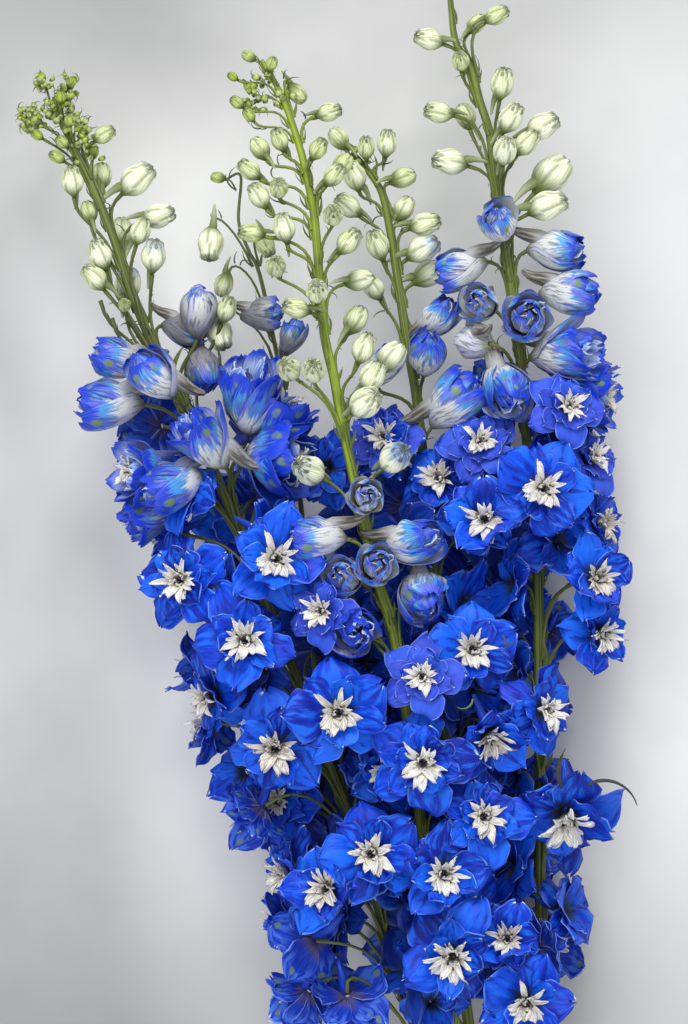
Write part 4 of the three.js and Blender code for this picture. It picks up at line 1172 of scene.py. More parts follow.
def cup_skin():
    skin = Skin("opening_sepal", roughness=0.42, specular=0.4)
    sheet = skin.stored("sheet", vector=True)
    across, along, _ = skin.split(sheet)
    ripe, rim, back = (skin.stored(name) for name in ("tone", "rim", "back"))
    vein = skin.noise(sheet, 1.0, 3.0, stretch=(26, 2.2, 1))
    cloud = skin.noise(sheet, 1.0, 2.0, stretch=(4, 3, 1), shift=3.0)
    wash = skin.noise(sheet, 1.0, 2.0, stretch=(3, 2, 1), shift=11.0)
    pale = skin.mix(skin.between(along, 0.04, 0.30), YOUNG, PALE)
    pale = skin.mix(skin.times(skin.between(wash, 0.46, 0.62), 0.5), pale, MAUVE)
    waves = skin.plus(skin.times(cloud, 0.5), skin.times(vein, 0.6))
    wavy = skin.plus(along, skin.minus(waves, 0.55))
    border = skin.minus(0.98, skin.times(ripe, 0.80))
    sky = skin.mix(skin.between(wash, 0.40, 0.60), SKY, PERIWINKLE)
    outer = skin.mix(skin.between(wavy, border, skin.plus(border, 0.16)), pale, sky)
    deeper = skin.plus(skin.plus(border, 0.08), skin.times(ripe, 0.28))
    outer = skin.mix(skin.between(wavy, deeper, skin.plus(deeper, 0.16)), outer, DEEP_BLUE)
    # painted shade in the creases of the outer side
    shaded_creases = skin.noise(sheet, 1.0, 4.0, stretch=(20, 4, 1), shift=5.0)
    outer = skin.mix(skin.times(skin.between(shaded_creases, 0.50, 0.36), 0.65), outer, CREASE_SHADE)
    spot = skin.spot(across, along, *TIP_SPOT)
    outer = skin.mix(skin.times(spot, skin.between(cloud, 0.35, 0.6)), outer, (0.16, 0.28, 0.09))
    # painted shade on the cups low between the left and the front stem, where the bunch shades them
    side, _, height = skin.split(skin.node("ShaderNodeTexCoord").outputs["Object"])
    shaded = skin.times(skin.between(height, *LOW_DOWN), skin.between(side, *SHADE_RIGHT))
    shaded = skin.times(shaded, skin.between(side, *SHADE_LEFT))
    painted_bunch_shade = skin.times(shaded, skin.between(along, 0.98, 0.55))
    outer = skin.mix(skin.times(painted_bunch_shade, 0.75), outer, BUNCH_SHADE_GREY)
    light = skin.mix(skin.between(vein, 0.40, 0.70), (0.42, 0.50, 0.80), (0.80, 0.84, 0.92))
    light = skin.mix(skin.between(ripe, 0.26, 0.42), (0.70, 0.73, 0.66), light)
    deep = skin.mix(skin.between(vein, 0.42, 0.72), (0.006, 0.05, 0.56), (0.04, 0.18, 0.88))
    light = skin.mix(skin.between(along, 0.80, 0.97), light, deep)
    inner = skin.mix(skin.between(ripe, 0.74, 0.95), light, deep)
    # painted shade deep in the throat, on the inside near the foot
    inner = skin.mix(skin.between(along, 0.5, 0.2), inner, THROAT_SHADE)
    colour = skin.mix(back, inner, outer)
    colour = skin.mix(skin.times(rim, 0.55), colour, (0.02, 0.06, 0.42))
    return skin.finish(colour, bump=vein, strength=0.3, depth=0.0004)


def heart_skin():
    skin = Skin("crumpled_heart", roughness=0.5, specular=0.3)
    sheet = skin.stored("sheet", vector=True)
    _, along, _ = skin.split(sheet)
    ripe, rim = skin.stored("tone"), skin.stored("rim")
    vein = skin.noise(sheet, 1.0, 3.0, stretch=(20, 3, 1))
    tan = skin.mix(skin.between(vein, 0.4, 0.65), (0.17, 0.15, 0.14), (0.50, 0.48, 0.46))
    white = skin.mix(skin.between(vein, 0.4, 0.65), (0.13, 0.28, 0.78), (0.66, 0.75, 0.90))
    blue = skin.mix(skin.between(vein, 0.4, 0.65), (0.008, 0.06, 0.58), (0.05, 0.20, 0.88))
    colour = skin.mix(skin.between(ripe, 0.46, 0.56), tan, white)
    colour = skin.mix(skin.between(ripe, 0.79, 0.95), colour, blue)
    # painted shade at the foot of the heart petals, deep in the cup
    colour = skin.mix(skin.between(along, 0.6, 0.2), colour, (0.03, 0.025, 0.02))
    colour = skin.mix(skin.times(rim, 0.8), colour, (0.60, 0.68, 0.95))
    return skin.finish(colour, bump=vein, strength=0.4, depth=0.0004)


def spur_skin():
    skin = Skin("dusky_spur", roughness=0.5, specular=0.35)
    sheet = skin.stored("sheet", vector=True)
    _, along, _ = skin.split(sheet)
    vein = skin.noise(sheet, 1.0, 3.0, stretch=(12, 3, 1))
    grey = skin.mix(skin.between(vein, 0.38, 0.62), (0.08, 0.075, 0.06), (0.33, 0.31, 0.28))
    grey = skin.mix(skin.between(along, 0.45, 0.22), grey, (0.42, 0.43, 0.46))
    colour = skin.mix(skin.between(skin.stored("tone"), 0.6, 0.95), grey, (0.03, 0.06, 0.34))
    return skin.finish(colour, bump=vein, strength=0.4, depth=0.0004)


# %% [markdown]
# ## Bees, stamens, buds and stalks
# The bee is cream with lilac veins and a brown foot, and older ones are tan. The stamens are grey with nearly
# black anthers, dusted tan. Buds go from green to cream as they ripen, darker at the neck, where painted
# shade lies over the green, and in the seams, with dark marks at the tip, and the ripest turn blue there. The
# stalks carry streaks along their ridges; each plant has its own green, from bright to olive.


# %% The pale and the green skins
def bee_skin():
    skin = Skin("cream_bee", roughness=0.55, specular=0.3)
    sheet = skin.stored("sheet", vector=True)
    _, along, _ = skin.split(sheet)
    vein = skin.noise(sheet, 1.0, 2.0, stretch=(16, 2.5, 1))
    cream = skin.mix(skin.between(vein, 0.34, 0.60), (0.50, 0.46, 0.50), (0.92, 0.91, 0.86))
    drawn = skin.node("ShaderNodeTexWhiteNoise", {"noise_dimensions": "1D"}, W=skin.stored("tone"))
    own_age = skin.between(drawn.outputs["Value"], 0.55, 0.9)
    older = skin.times(own_age, skin.between(vein, 0.62, 0.42))
    cream = skin.mix(skin.times(older, 0.75), cream, (0.40, 0.33, 0.30))
    colour = skin.mix(skin.between(along, 0.5, 0.12), cream, (0.20, 0.18, 0.15))
    yolk = skin.times(skin.between(along, 0.35, 0.5), skin.between(along, 0.7, 0.5))
    colour = skin.mix(skin.times(yolk, skin.between(vein, 0.5, 0.66)), colour, (0.70, 0.66, 0.30))
    return skin.finish(colour, bump=vein, strength=0.3, depth=0.0003)


def stamen_skin():
    skin = Skin("dark_stamen", roughness=0.7, specular=0.3)
    sheet = skin.stored("sheet", vector=True)
    _, along, _ = skin.split(sheet)
    dust = skin.noise(sheet, 6.0, 2.0)
    anther = skin.mix(skin.between(dust, 0.48, 0.60), (0.016, 0.012, 0.012), (0.26, 0.21, 0.14))
    colour = skin.mix(skin.between(along, 0.55, 0.75), (0.24, 0.21, 0.22), anther)
    return skin.finish(colour)


FRESH_GREEN, CREAM = (0.48, 0.60, 0.07), (0.98, 0.99, 0.82)
LEAF_GREEN, CREAM_SHADE = (0.12, 0.18, 0.012), (0.66, 0.73, 0.36)


def bud_skin():
    skin = Skin("bud_green", roughness=0.5, specular=0.35)
    sheet = skin.stored("sheet", vector=True)
    across, along, number = skin.split(sheet)
    ripe, seam = skin.stored("tone"), skin.stored("rim")
    vein = skin.noise(sheet, 1.0, 3.0, stretch=(14, 2.0, 1))
    cream = skin.maths("MINIMUM", ripe, 1.0)
    light = skin.mix(cream, FRESH_GREEN, CREAM)
    dark = skin.mix(cream, LEAF_GREEN, CREAM_SHADE)
    body = skin.mix(skin.between(vein, 0.34, 0.58), dark, light)
    # the neck: green, and darker still with painted shade, most on the small green buds
    shaded_neck = skin.mix(cream, (0.05, 0.08, 0.006), (0.10, 0.15, 0.012))
    body = skin.mix(skin.between(along, 0.52, 0.06), body, shaded_neck)
    body = skin.mix(skin.times(seam, 0.6), body, (0.09, 0.13, 0.02))
    blue = skin.times(skin.between(ripe, 0.95, 1.5), skin.between(along, 0.60, 0.92))
    body = skin.mix(blue, body, (0.08, 0.22, 0.72))
    own = skin.node("ShaderNodeCombineXYZ", X=number, Y=ripe).outputs[0]
    drawn = skin.node("ShaderNodeTexWhiteNoise", {"noise_dimensions": "2D"}, Vector=own)
    mark = skin.spot(across, along, 0.88, (4.2, 11.0))
    mark = skin.times(mark, skin.between(drawn.outputs["Value"], 0.15, 0.6))
    colour = skin.mix(skin.times(mark, 0.9), body, (0.05, 0.07, 0.02))
    tip = skin.times(skin.between(along, 0.88, 0.96), skin.between(vein, 0.44, 0.52))
    colour = skin.mix(skin.times(tip, 0.9), colour, (0.03, 0.035, 0.045))
    has_pit = skin.between(drawn.outputs["Value"], 0.4, 0.6)
    pit = skin.times(skin.between(along, 0.965, 0.99), has_pit)
    colour = skin.mix(pit, colour, (0.045, 0.06, 0.02))
    return skin.finish(colour, bump=vein, strength=0.35, depth=0.0004)


BRIGHT_STALK, OLIVE_STALK, DARK_STALK = (0.30, 0.43, 0.02), (0.15, 0.18, 0.05), (0.045, 0.05, 0.02)


def stalk_skin():
    skin = Skin("stalk_green", roughness=0.5, specular=0.4)
    tone = skin.stored("tone")
    streak = skin.noise(skin.fibre(4.0), 1.0, 4.0, stretch=(3.0, 3.0, 1.0))
    blotch = skin.noise(skin.node("ShaderNodeTexCoord").outputs["Object"], 60.0, 3.0)
    base = skin.mix(tone, OLIVE_STALK, BRIGHT_STALK)
    dark = skin.mix(tone, DARK_STALK, OLIVE_STALK)
    colour = skin.mix(skin.between(streak, 0.35, 0.62), dark, base)
    colour = skin.mix(skin.times(skin.between(blotch, 0.5, 0.75), 0.45), colour, DARK_STALK)
    return skin.finish(colour, bump=streak, strength=0.4, depth=0.0005)


def leaf_skin():
    skin = Skin("bract_green", roughness=0.5, specular=0.35)
    sheet = skin.stored("sheet", vector=True)
    vein = skin.noise(sheet, 1.0, 3.0, stretch=(14, 2.0, 1))
    fresh = skin.mix(skin.between(vein, 0.4, 0.65), (0.10, 0.13, 0.03), (0.26, 0.34, 0.07))
    colour = skin.mix(skin.stored("tone"), fresh, (0.045, 0.04, 0.04))
    return skin.finish(colour, bump=vein, strength=0.4, depth=0.0004)


SKINS = {
    "sepal": sepal_skin(), "cup": cup_skin(), "heart": heart_skin(), "spur": spur_skin(),
    "bee": bee_skin(), "stamen": stamen_skin(), "bud": bud_skin(), "leaf": leaf_skin(),
    "stalk": stalk_skin(),
}
print("skins:", sorted(SKINS))

# %% [markdown]
# ## Where each thing stands and how it is turned
# A spot has a place, a way that it faces and a turn about that way. The upper sepal of a floret points
# to the stem's tip, so every spot starts with its own X axis towards the tips and then turns a little.
# Buds stand off their stem by a reach that grows down the stem, as on the plant. Florets below, deep down
# and at the sides, which no list names, follow a rule along the stem with a seeded draw.


# %% Spots
TIPWARD = Vector((0, 1, 0))
STEM_SIDE = 2.3  # about a stem's radius
FIRST_REACH, REACH_GROWTH, FULL_REACH = 6, 0.13, 26
BUD_NECK = 0.35  # of a bud's length, from its middle down to its stalk
SHORTEST_DROP, LONGEST_DROP = 14, 42  # from a floret's back down to the foot of its stalk
UNDER_CLEARANCE = 13
DEEP_COUNT, DEEP_START, DEEP_LENGTH = 6, -10, 210
DRAW_STEP, DRAW_RANGE = 16807, 2147483647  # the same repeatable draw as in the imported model


def turn_to(way, spin=0.0):
    z = Vector(way).normalized()
    start = TIPWARD if abs(z.dot(TIPWARD)) < 0.95 else Vector((0, 0, -1))
    x = (start - z * start.dot(z)).normalized()
    turned = Matrix((x, z.cross(x), z)).transposed() @ Matrix.Rotation(spin, 3, "Z")
    return tuple(turned.to_euler())


def spot(at, way, size, kind, tone, spin=0.0):
    return {"at": at, "turn": turn_to(way, spin), "size": size * MM, "kind": kind, "tone": tone,
            "way": unit(way), "width": size}


def bud_reach(stem, y):
    return min(FIRST_REACH + (stem[0][1] - y) * REACH_GROWTH, FULL_REACH)


def place_bud(stem, run, path, row, index):
    """A bud's middle and the way that it points. Where no turn or rise is listed, it leans off its stem."""
    x, y, length, turn, rise = [*row, None, None][:5]
    reach = bud_reach(stem, y)
    root = point_at(path, y - reach * run - length * BUD_NECK)
    aside = x - root[0]
    depth = math.sqrt(max(reach**2 - aside**2, reach**2 * 0.12))
    side = 1 if rise is not None or index % 3 else -1
    lean = math.radians(max(-60, min(60, aside * 4)) if turn is None else turn)
    lift = math.radians(side * 22 if rise is None else rise)
    way = (math.sin(lean) * math.cos(lift), math.cos(lean) * math.cos(lift), math.sin(lift))
    return np.array([x, y, root[2] + side * depth]), unit(way)


def stalk_foot(path, at, drop):
    """Where a stalk leaves its stem: low down, on the side that faces its bud or floret."""
    away = at - point_at(path, at[1])
    return point_at(path, at[1] - drop) + unit(away * [1, 0, 1]) * STEM_SIDE


def under_rows(plant, path):
    """The florets that the stem lies on."""
    if "under" not in plant:
        return []
    rule = plant["under"]
    draw = 7 + 3 * rule["reach"] + rule["count"] + rule["from"]
    rows = []
    for index in range(rule["count"]):
        y = rule["from"] + (rule["to"] - rule["from"]) * index / (rule["count"] - 1)
        draw = (draw * DRAW_STEP) % DRAW_RANGE
        swing = math.radians(rule["swing"] * (1 if index % 2 else -1) + (draw / DRAW_RANGE - 0.5) * 8)
        middle = point_at(path, y)
        out = np.array([math.sin(swing), 0.12, -math.cos(swing)])
        depth = min(rule["reach"], (middle[2] - UNDER_CLEARANCE) / math.cos(swing))
        rows.append([*(middle + out * [depth, 0, depth]), rule["width"], *out])
    return rows


def deep_rows(plant, path):
    """Florets low in the bunch, dark with painted shade from the sepal skin on many of them, which close the
    gaps between the ones above.
    """
    draw = random.Random(len(plant["name"]) * 31)
    rows = []
    for index in range(DEEP_COUNT):
        y = DEEP_START - DEEP_LENGTH * index / (DEEP_COUNT - 1) + draw.uniform(-6, 6)
        x = point_at(path, y)[0] + draw.uniform(-16, 16) + plant.get("deep_shift", 0)
        rows.append([x, y, draw.uniform(13, 19), draw.uniform(48, 56), draw.uniform(-0.3, 0.3), 0.1, 1.0])
    return rows


def side_rows(plant, path, start, end, count, seed, spread):
    """Half hidden florets at both sides of the stem, but none on the right of a bare stretch."""
    draw = random.Random(seed)
    bare = plant.get("bare", (0, 0))
    rows = []
    for index in range(count):
        y = start + (end - start) * index / (count - 1) + draw.uniform(-5, 5)
        if index % 2 and bare[0] < y < bare[1]:
            continue
        swing = math.radians((1 if index % 2 else -1) * draw.uniform(38, 82))
        middle = point_at(path, y)
        out = np.array([math.sin(swing), draw.uniform(-0.1, 0.3), math.cos(swing)])
        reach = draw.uniform(18, 27) * spread
        rows.append([*(middle + out * [reach, 0, reach]), draw.uniform(42, 50), *out])
    return rows


def floret_root(path, at, back_y):
    middle = point_at(path, at[1])
    across = math.hypot(at[0] - middle[0], at[2] - middle[2])
    drop = min(max(across, SHORTEST_DROP), LONGEST_DROP)
    return stalk_foot(path, np.asarray(at), at[1] - min(at[1], back_y) + drop)


def stalk_line(path, root, neck, way, thick, tone):
    """A floret's stalk: it leaves the stem towards the tip and comes in behind the floret."""
    far = np.linalg.norm(neck - root)
    stemward = unit(point_at(path, root[1] + 6) - point_at(path, root[1] - 6))
    points = bend_between(root, stemward * far * 0.62, neck, np.asarray(way) * far * 0.35, STALK_STEPS)
    swell = np.interp(np.linspace(0, 1, STALK_STEPS), [0, 0.15, 0.8, 1], [1.5, 1.0, 0.95, 1.4])
    return {"points": points, "thick": thick * swell, "tone": tone}


# %% [markdown]
# ## One plant at a time
# The same few steps dress each plant: gather the spots, lay the stalk lines, and grow each piece. A piece
# has one finish, so petals, bees, stamens, buds and stalks are pieces of their own.


# %% Gathering the spots
# The florets at a stem's sides: from where to where, how many, the seed and how far they spread.
SIDES = {
    "left": (8, -226, 12, 101, 1.0), "right": (60, -226, 13, 102, 0.68),
    "middle": (30, -210, 11, 103, 1.0), "front": (-66, -226, 7, 104, 1.0),
}
OPEN_SWELL, CUP_SWELL, BUD_SWELL = 1.08, 1.05, 1.08  # drawn size over listed size
NARROW = 40  # an open floret that is smaller still is a rosette
RIPE = 0.8  # a half-open floret that is riper shows its bee
GREENNESS = {"front": 1.0, "middle": 0.35, "right": 0.3, "left": 0.15}


def open_spots(plant, path, draw):
    spots = []
    for index, row in enumerate(plant["stars"]):
        rosette = row[3] < NARROW
        kind = ROSETTE_OPEN if rosette else (index * 5 + len(plant["name"])) % len(OPEN_KINDS)
        tone = 1.0 if rosette else draw.uniform(-0.6, 0.6)
        spots.append(spot(row[:3], row[4:7], row[3] * OPEN_SWELL, kind, tone,
                          math.radians(draw.uniform(-28, 28))))
    hidden = [*plant.get("hidden", []), *under_rows(plant, path),
              *side_rows(plant, path, *SIDES[plant["name"]]), *deep_rows(plant, path)]
    for index, row in enumerate(hidden):
        # hidden florets draw low tones, and on the lowest of them the sepal skin paints shade
        spots.append(spot(row[:3], row[4:7], row[3], len(OPEN_KINDS) + index % len(HIDDEN_KINDS),
                          draw.uniform(-1, -0.4), math.radians(draw.uniform(-40, 40))))
    return spots


def cup_kind(ripe, index, way):
    """Ripe ones are rosettes, and those that face straight up are rings. The rest open as they ripen."""
    if ripe > RIPE:
        return ROSETTE
    if unit(way)[2] > 0.92:
        return RING
    if ripe > 0.58:
        return (LOOSE_GOBLET, FAN, GOBLET)[index % 3]
    return SHUT if ripe < 0.3 else (GOBLET, LOOSE_GOBLET)[index % 2]


def cup_spots(plant, draw):
    return [spot(row[:3], row[4:7], row[3] * CUP_SWELL, cup_kind(row[7], index, row[4:7]), row[7],
                 math.radians(draw.uniform(-30, 30))) for index, row in enumerate(plant["cups"])]


def bud_spots(stem, run, path, rows, draw, blue_tips, cling=1.0):
    """Buds go from green at 0 to cream at 1, and a tip that colours first adds its share of blue."""
    spots, roots = [], []
    for index, row in enumerate(rows):
        at, way = place_bud(stem, run, path, row, index)
        length = row[2]
        ripe = min(max((length - 7) / 10 + draw.uniform(-0.15, 0.15), 0), 1) + blue_tips.get(index, 0)
        kind = YOUNG_BUD if length < 10 else YOUNG_BUD + 1 + index % 3
        spots.append(spot(at, way, length * BUD_SWELL, kind, ripe, draw.uniform(-0.7, 0.7)))
        drop = length * BUD_NECK + bud_reach(stem, row[1]) * run * cling
        roots.append(stalk_foot(path, at, drop))
    return spots, roots


def tip_spots(rule, draw):
    """A crowd of tiny buds and hooks round a place near a stem's tip."""
    x, y, z, radius, count = rule
    crumbs, hooks = [], []
    for _ in range(count):
        way = unit([draw.gauss(0, 1) for _ in range(3)])
        at = np.array([x, y, z]) + way * radius * draw.uniform(0.3, 1.0)
        crumbs.append(spot(at, way + [0, 0.5, 0], draw.uniform(2.8, 5.0), CRUMB, draw.uniform(0, 0.35),
                           draw.uniform(-3, 3)))
        hooks.append(spot(at, way + [0, 0.3, 0], draw.uniform(3, 6.5), draw.choice((HOOK, TIGHT_HOOK)),
                          draw.uniform(0, 0.5), draw.uniform(-3, 3)))
    return crumbs, hooks


# %% [markdown]
# ## Stalks and bracts
# Every spot gets a stalk from the stem to its back, a small bract at the stalk's foot, and two hooks near
# its head. Since they follow from the spots, they can't miss them when a floret is moved. A few bare
# stalks run along the left stem, and a few dry hooks stand out from the florets.


# %% Laying the stalks
BACK_OF_OPEN, BACK_OF_CUP, BACK_OF_BUD = 0.10, 0.78, 0.5
STALK_STEPS = 9


def stalk_lines(path, spots, back_share, thick, tone, roots=None):
    lines = []
    for index, one in enumerate(spots):
        neck = np.asarray(one["at"]) - one["way"] * one["width"] * back_share
        root = roots[index] if roots else floret_root(path, one["at"], neck[1])
        slim = 0.75 if one["width"] < 10 else 1.0
        lines.append(stalk_line(path, root, neck, one["way"], thick * slim, tone))
    return lines


def runner_lines(plant, path):
    """Bare stalks that lie along the stem."""
    lines = []
    for x, y, z, foot in plant.get("runners", []):
        at = np.array([x, y, z], float)
        lines.append(stalk_line(path, stalk_foot(path, at, y - foot), at, (-0.2, 1.0, 0.1), 0.8, 0.0))
    return lines


def bract_spots(lines, draw):
    """The small bract and the two hooks on each stalk. A side shoot has more points and gets none."""
    spots = []
    for line in lines:
        points = line["points"]
        if len(points) != STALK_STEPS:
            continue
        start = unit(points[2] - points[0])
        away = unit(points[-1] - points[0] - start * np.dot(points[-1] - points[0], start) + 1e-3)
        spots.append(spot(points[0], start + away * 0.7, draw.uniform(7, 11), SMALL_LEAF, 0.2,
                          draw.uniform(-0.5, 0.5)))
        for share in (5, 6):
            side = unit(np.cross(points[share] - points[share - 1], (draw.uniform(-1, 1), 0.2, 1.0)))
            way = unit(points[share] - points[share - 1]) + side * draw.choice((-0.8, 0.8))
            spots.append(spot(points[share], way, draw.uniform(4, 8.5), draw.choice((HOOK, TIGHT_HOOK)),
                              draw.uniform(0.4, 1.0), draw.uniform(-3, 3)))
    return spots


def stray_spots(name):
    """The few long hooks and dry bracts that stand out from the florets."""
    return [spot(*stray) for stray in STRAYS.get(name, [])]


def leaf_spots(plant, path):
    return [spot(point_at(path, y), (lean_x, 0.9, lean_z), length, CURLED_LEAF if index else LEAF, 0.4)
            for index, (y, length, lean_x, lean_z) in enumerate(plant.get("bracts", []))]


# A stray's place, the way that it points, its length, kind, tone and spin.
STRAYS = {
    "right": [((118.5, -135.5, 105), (0.7, 0.7, 0.1), 30, LONG_HOOK, 1.0, math.pi),
              ((107, -136, 112), (-0.35, 0.9, 0.2), 20, SMALL_LEAF, 0.9, 0.0),
              ((76, -60, 108), (0.9, -0.3, 0.2), 12, TIGHT_HOOK, 0.8, math.pi),
              ((84, -62, 107), (-0.2, -0.9, 0.3), 9, TIGHT_HOOK, 0.8, 1.5)],
    "front": [((63, -90, 108), (0.3, -0.9, 0.2), 12, TIGHT_HOOK, 0.1, 2.4)],
    "left": [((-62, 70, 70), (0.1, 0.95, 0.1), 16, HOOK, 0.9, 0.3)],
}


# %% Growing one plant's pieces
def place(name, spots, kinds, skin, slot, nodes, wobble=0.0, seed=1, in_turn=0):
    """Grows a shape on every spot. Where in_turn is given, so many kinds follow one another."""
    if in_turn:
        spots = [{**one, "kind": index % in_turn} for index, one in enumerate(spots)]
    piece = grown(name, spots_mesh(name, spots), SCATTER, kinds=KINDS[kinds], wobble=wobble, seed=seed,
                  skin=SKINS[skin])
    dress(piece, slot, *nodes)


def sweep(name, lines, nodes, ridges=4, groove=0.12):
    piece = grown(name, lines_mesh(name, lines), SWEEP, ridges=ridges, groove=groove, skin=SKINS["stalk"])
    dress(piece, "stem_green", *nodes)


CLING = {"left": 2.7, "right": 2.5, "middle": 2.0, "front": 1.8}  # how far down the buds' stalks start
STEM_TIP, STEM_FOOT, SHOOT_TIP, SHOOT_FOOT = 0.9, 3.3, 0.6, 1.5
STEM_TAPER = 0.45  # below 1, a stem thickens soon below its tip
SHOOT_RUN = 0.6
BLUE_TIPS = {
    "left": {20: 0.15, 21: 0.3}, "right": {}, "middle": {8: 0.2, 9: 0.3}, "front": {31: 0.1, 32: 0.3},
}
BEE_SIZE, RIPE_BEE_SIZE, RIPE_BEE_DEPTH = 1.06, 1.5, 0.3
WOBBLE = 0.06
# A crowd's place, its radius and how many buds it has.
TIP_CROWDS = {
    "left": [(-138, 214, 48, 8, 18), (-151, 217, 49, 6, 14), (-155, 197, 50, 9, 50),
             (-142, 203, 50, 9, 34), (-135, 190, 52, 10, 34), (-129, 178, 52, 9, 12)],
    "right": [(53, 268, 56, 5, 6)],
    "front": [(-45, 203, 79, 8, 26), (-40, 216, 78, 7, 12), (-31, 206, 80, 6, 8)],
    "middle": [(7, 180, 47, 7, 8)],
}


def grow_plant(plant, seed):
    name, draw = plant["name"], random.Random(seed)
    path = smooth_path(plant["stem"])
    green = [f"{name}_stem"]
    blue = sorted(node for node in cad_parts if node.startswith(f"{name}_florets"))
    tone = GREENNESS[name]
    opened, cups = open_spots(plant, path, draw), cup_spots(plant, draw)
    buds, roots = bud_spots(plant["stem"], plant["pedicel_run"], path, plant["buds"], draw, BLUE_TIPS[name],
                            CLING[name])

    taper = np.linspace(0, 1, len(path))**STEM_TAPER
    stem = {"points": path, "thick": STEM_TIP + (STEM_FOOT - STEM_TIP) * taper, "tone": tone}
    sweep(f"{name}_stalk", [stem], green, ridges=9, groove=0.09)
    lines = (stalk_lines(path, opened, BACK_OF_OPEN, 0.85, tone * 0.4)
             + stalk_lines(path, cups, BACK_OF_CUP, 0.95, tone * 0.6)
             + stalk_lines(path, buds, BACK_OF_BUD, 0.82, tone * 0.6, roots) + runner_lines(plant, path))
    if "shoot" in plant:
        side_path = smooth_path(plant["shoot"])
        thick = np.linspace(SHOOT_TIP, SHOOT_FOOT, len(side_path))
        shoot = {"points": side_path, "thick": thick, "tone": 0.0}
        more, more_roots = bud_spots(plant["shoot"], SHOOT_RUN, side_path, plant["shoot_buds"], draw, {})
        more_cups = cup_spots({"cups": plant["shoot_cups"]}, draw)
        lines += [shoot, *stalk_lines(side_path, more, BACK_OF_BUD, 0.6, 0.0, more_roots),
                  *stalk_lines(side_path, more_cups, BACK_OF_CUP, 0.8, 0.0)]
        buds += more
        cups += more_cups
    sweep(f"{name}_floret_stalks", lines, green)
    small_leaves = bract_spots(lines, draw) + leaf_spots(plant, path) + stray_spots(name)
    for rule in TIP_CROWDS[name]:
        crumbs, hooks = tip_spots(rule, draw)
        buds += crumbs
        small_leaves += hooks
    place(f"{name}_bracts", small_leaves, "leaf", "leaf", "stem_green", green)
    place(f"{name}_buds", buds, "bud", "bud", "stem_green", green)
    if cups:
        place(f"{name}_cups", cups, "cup", "cup", "petal_blue", green)
        place(f"{name}_cup_hearts", cups, "heart", "heart", "petal_blue", green)
        place(f"{name}_spurs", cups, "spur", "spur", "petal_blue", green, in_turn=len(SPUR_KINDS))
    place(f"{name}_sepals", opened, "open", "sepal", "petal_blue", blue, wobble=WOBBLE, seed=seed)
    ripe_cups = [{**one, "at": np.asarray(one["at"]) - one["way"] * one["width"] * RIPE_BEE_DEPTH,
                  "size": one["size"] * RIPE_BEE_SIZE} for one in cups if one["tone"] > RIPE]
    hearts = [{**one, "size": one["size"] * BEE_SIZE} for one in opened[:len(plant["stars"])]] + ripe_cups
    for part, kinds in (("bee", BEE_KINDS), ("stamen", STAMEN_KINDS)):
        place(f"{name}_{part}s", hearts, part, part, "petal_blue", blue, wobble=WOBBLE, seed=seed,
              in_turn=len(kinds))


for number, plant in enumerate(PLANTS):
    grow_plant(plant, seed=200 + number)

# %% [markdown]
# ## The twine
# The stems are held by five turns of twine. Twine is two yarns twisted round each other, and that twist is
# what the eye knows it by, so both yarns are real: each runs round the middle line of the winding in a
# tight helix. The winding follows a rounded square, which is how four stems stack, and ends in a knot
# with two short tails. The same sweep tree that made the stalks makes the yarns.


# %% Winding and knot
TIE_MIDDLE = np.array([90.0, -400.0, 9.2])
TIE_HALF, TIE_PITCH, TIE_TURNS = 8.35, 1.65, 5
YARN, YARN_APART, TWIST = 0.42, 0.36, 3.4
KNOT_SIZE = 0.95


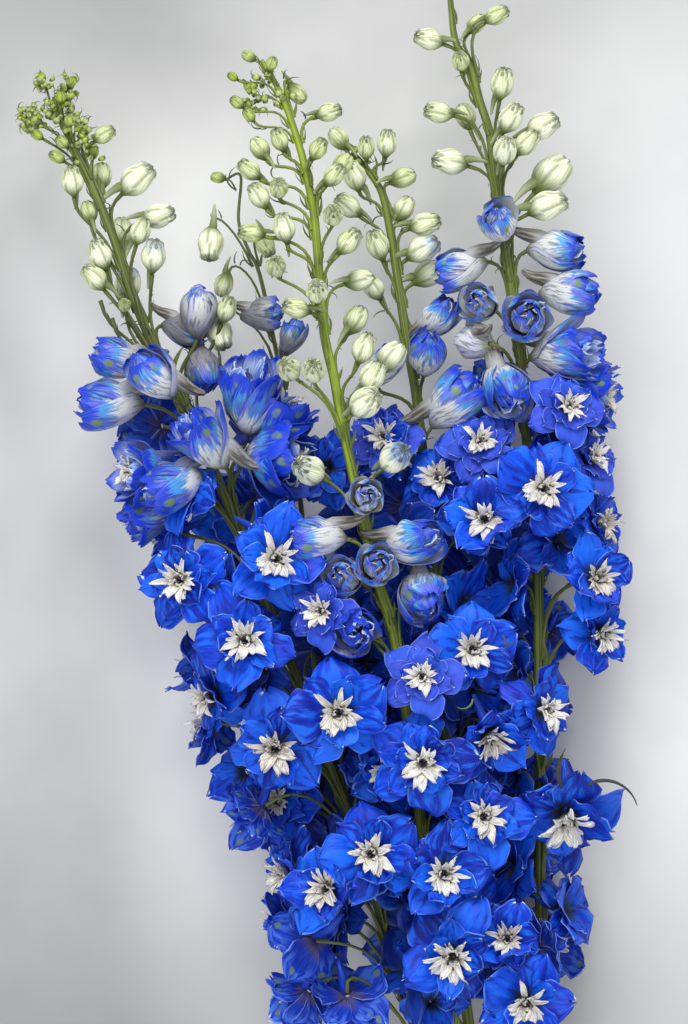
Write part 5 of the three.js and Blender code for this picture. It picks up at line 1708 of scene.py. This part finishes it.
def winding():
    turn = np.linspace(0.0, TIE_TURNS * 2 * math.pi, 420)
    squared = (np.abs(np.cos(turn))**4 + np.abs(np.sin(turn))**4)**-0.25
    along = (turn / (2 * math.pi) - TIE_TURNS / 2) * TIE_PITCH
    return TIE_MIDDLE + np.stack([TIE_HALF * squared * np.cos(turn), along,
                                  TIE_HALF * squared * np.sin(turn)], axis=1)


def knot():
    turn = np.linspace(0.3, 2 * math.pi - 0.3, 90)
    loop = np.stack([np.sin(turn) + 2 * np.sin(2 * turn), np.cos(turn) - 2 * np.cos(2 * turn),
                     -1.1 * np.sin(3 * turn) + 2.2], axis=1) * KNOT_SIZE
    return TIE_MIDDLE + [-1.0, 0.0, TIE_HALF] + loop


def tail(side):
    start = TIE_MIDDLE + [side * 1.5, 0.0, TIE_HALF + 2.0]
    return bend_between(start, np.array([side * 5, -2, 3]), start + [side * 10, -13, -4.5],
                        np.array([side * 1.5, -5, -3]), 40)


def yarns(line):
    """Two yarns twisted round a line."""
    ways = np.gradient(line, axis=0)
    lengths = np.linalg.norm(ways, axis=1)
    ways /= lengths[:, None]
    side = np.cross(ways, (0.3, 0.9, 0.3))
    side /= np.linalg.norm(side, axis=1)[:, None]
    over = np.cross(ways, side)
    turn = np.cumsum(lengths) / TWIST * 2 * math.pi
    return [{"points": line + YARN_APART * (np.cos(turn + start)[:, None] * side
                                            + np.sin(turn + start)[:, None] * over),
             "thick": YARN, "tone": 0.0} for start in (0.0, math.pi)]


def twine_skin():
    skin = Skin("twine", roughness=0.9, specular=0.15)
    fibre = skin.noise(skin.fibre(60.0), 1.0, 4.0, stretch=(5.0, 5.0, 1.0))
    colour = skin.mix(skin.between(fibre, 0.35, 0.65), (0.20, 0.13, 0.06), (0.52, 0.40, 0.24))
    return skin.finish(colour, bump=fibre, strength=0.7, depth=0.0003)


SKINS["twine"] = twine_skin()
twine_lines = [yarn for line in (winding(), knot(), tail(-1), tail(1)) for yarn in yarns(line)]
twine = grown("twine", lines_mesh("twine", twine_lines), SWEEP, ridges=4, groove=0.1, skin=SKINS["twine"])
dress(twine, "twine", "tie")
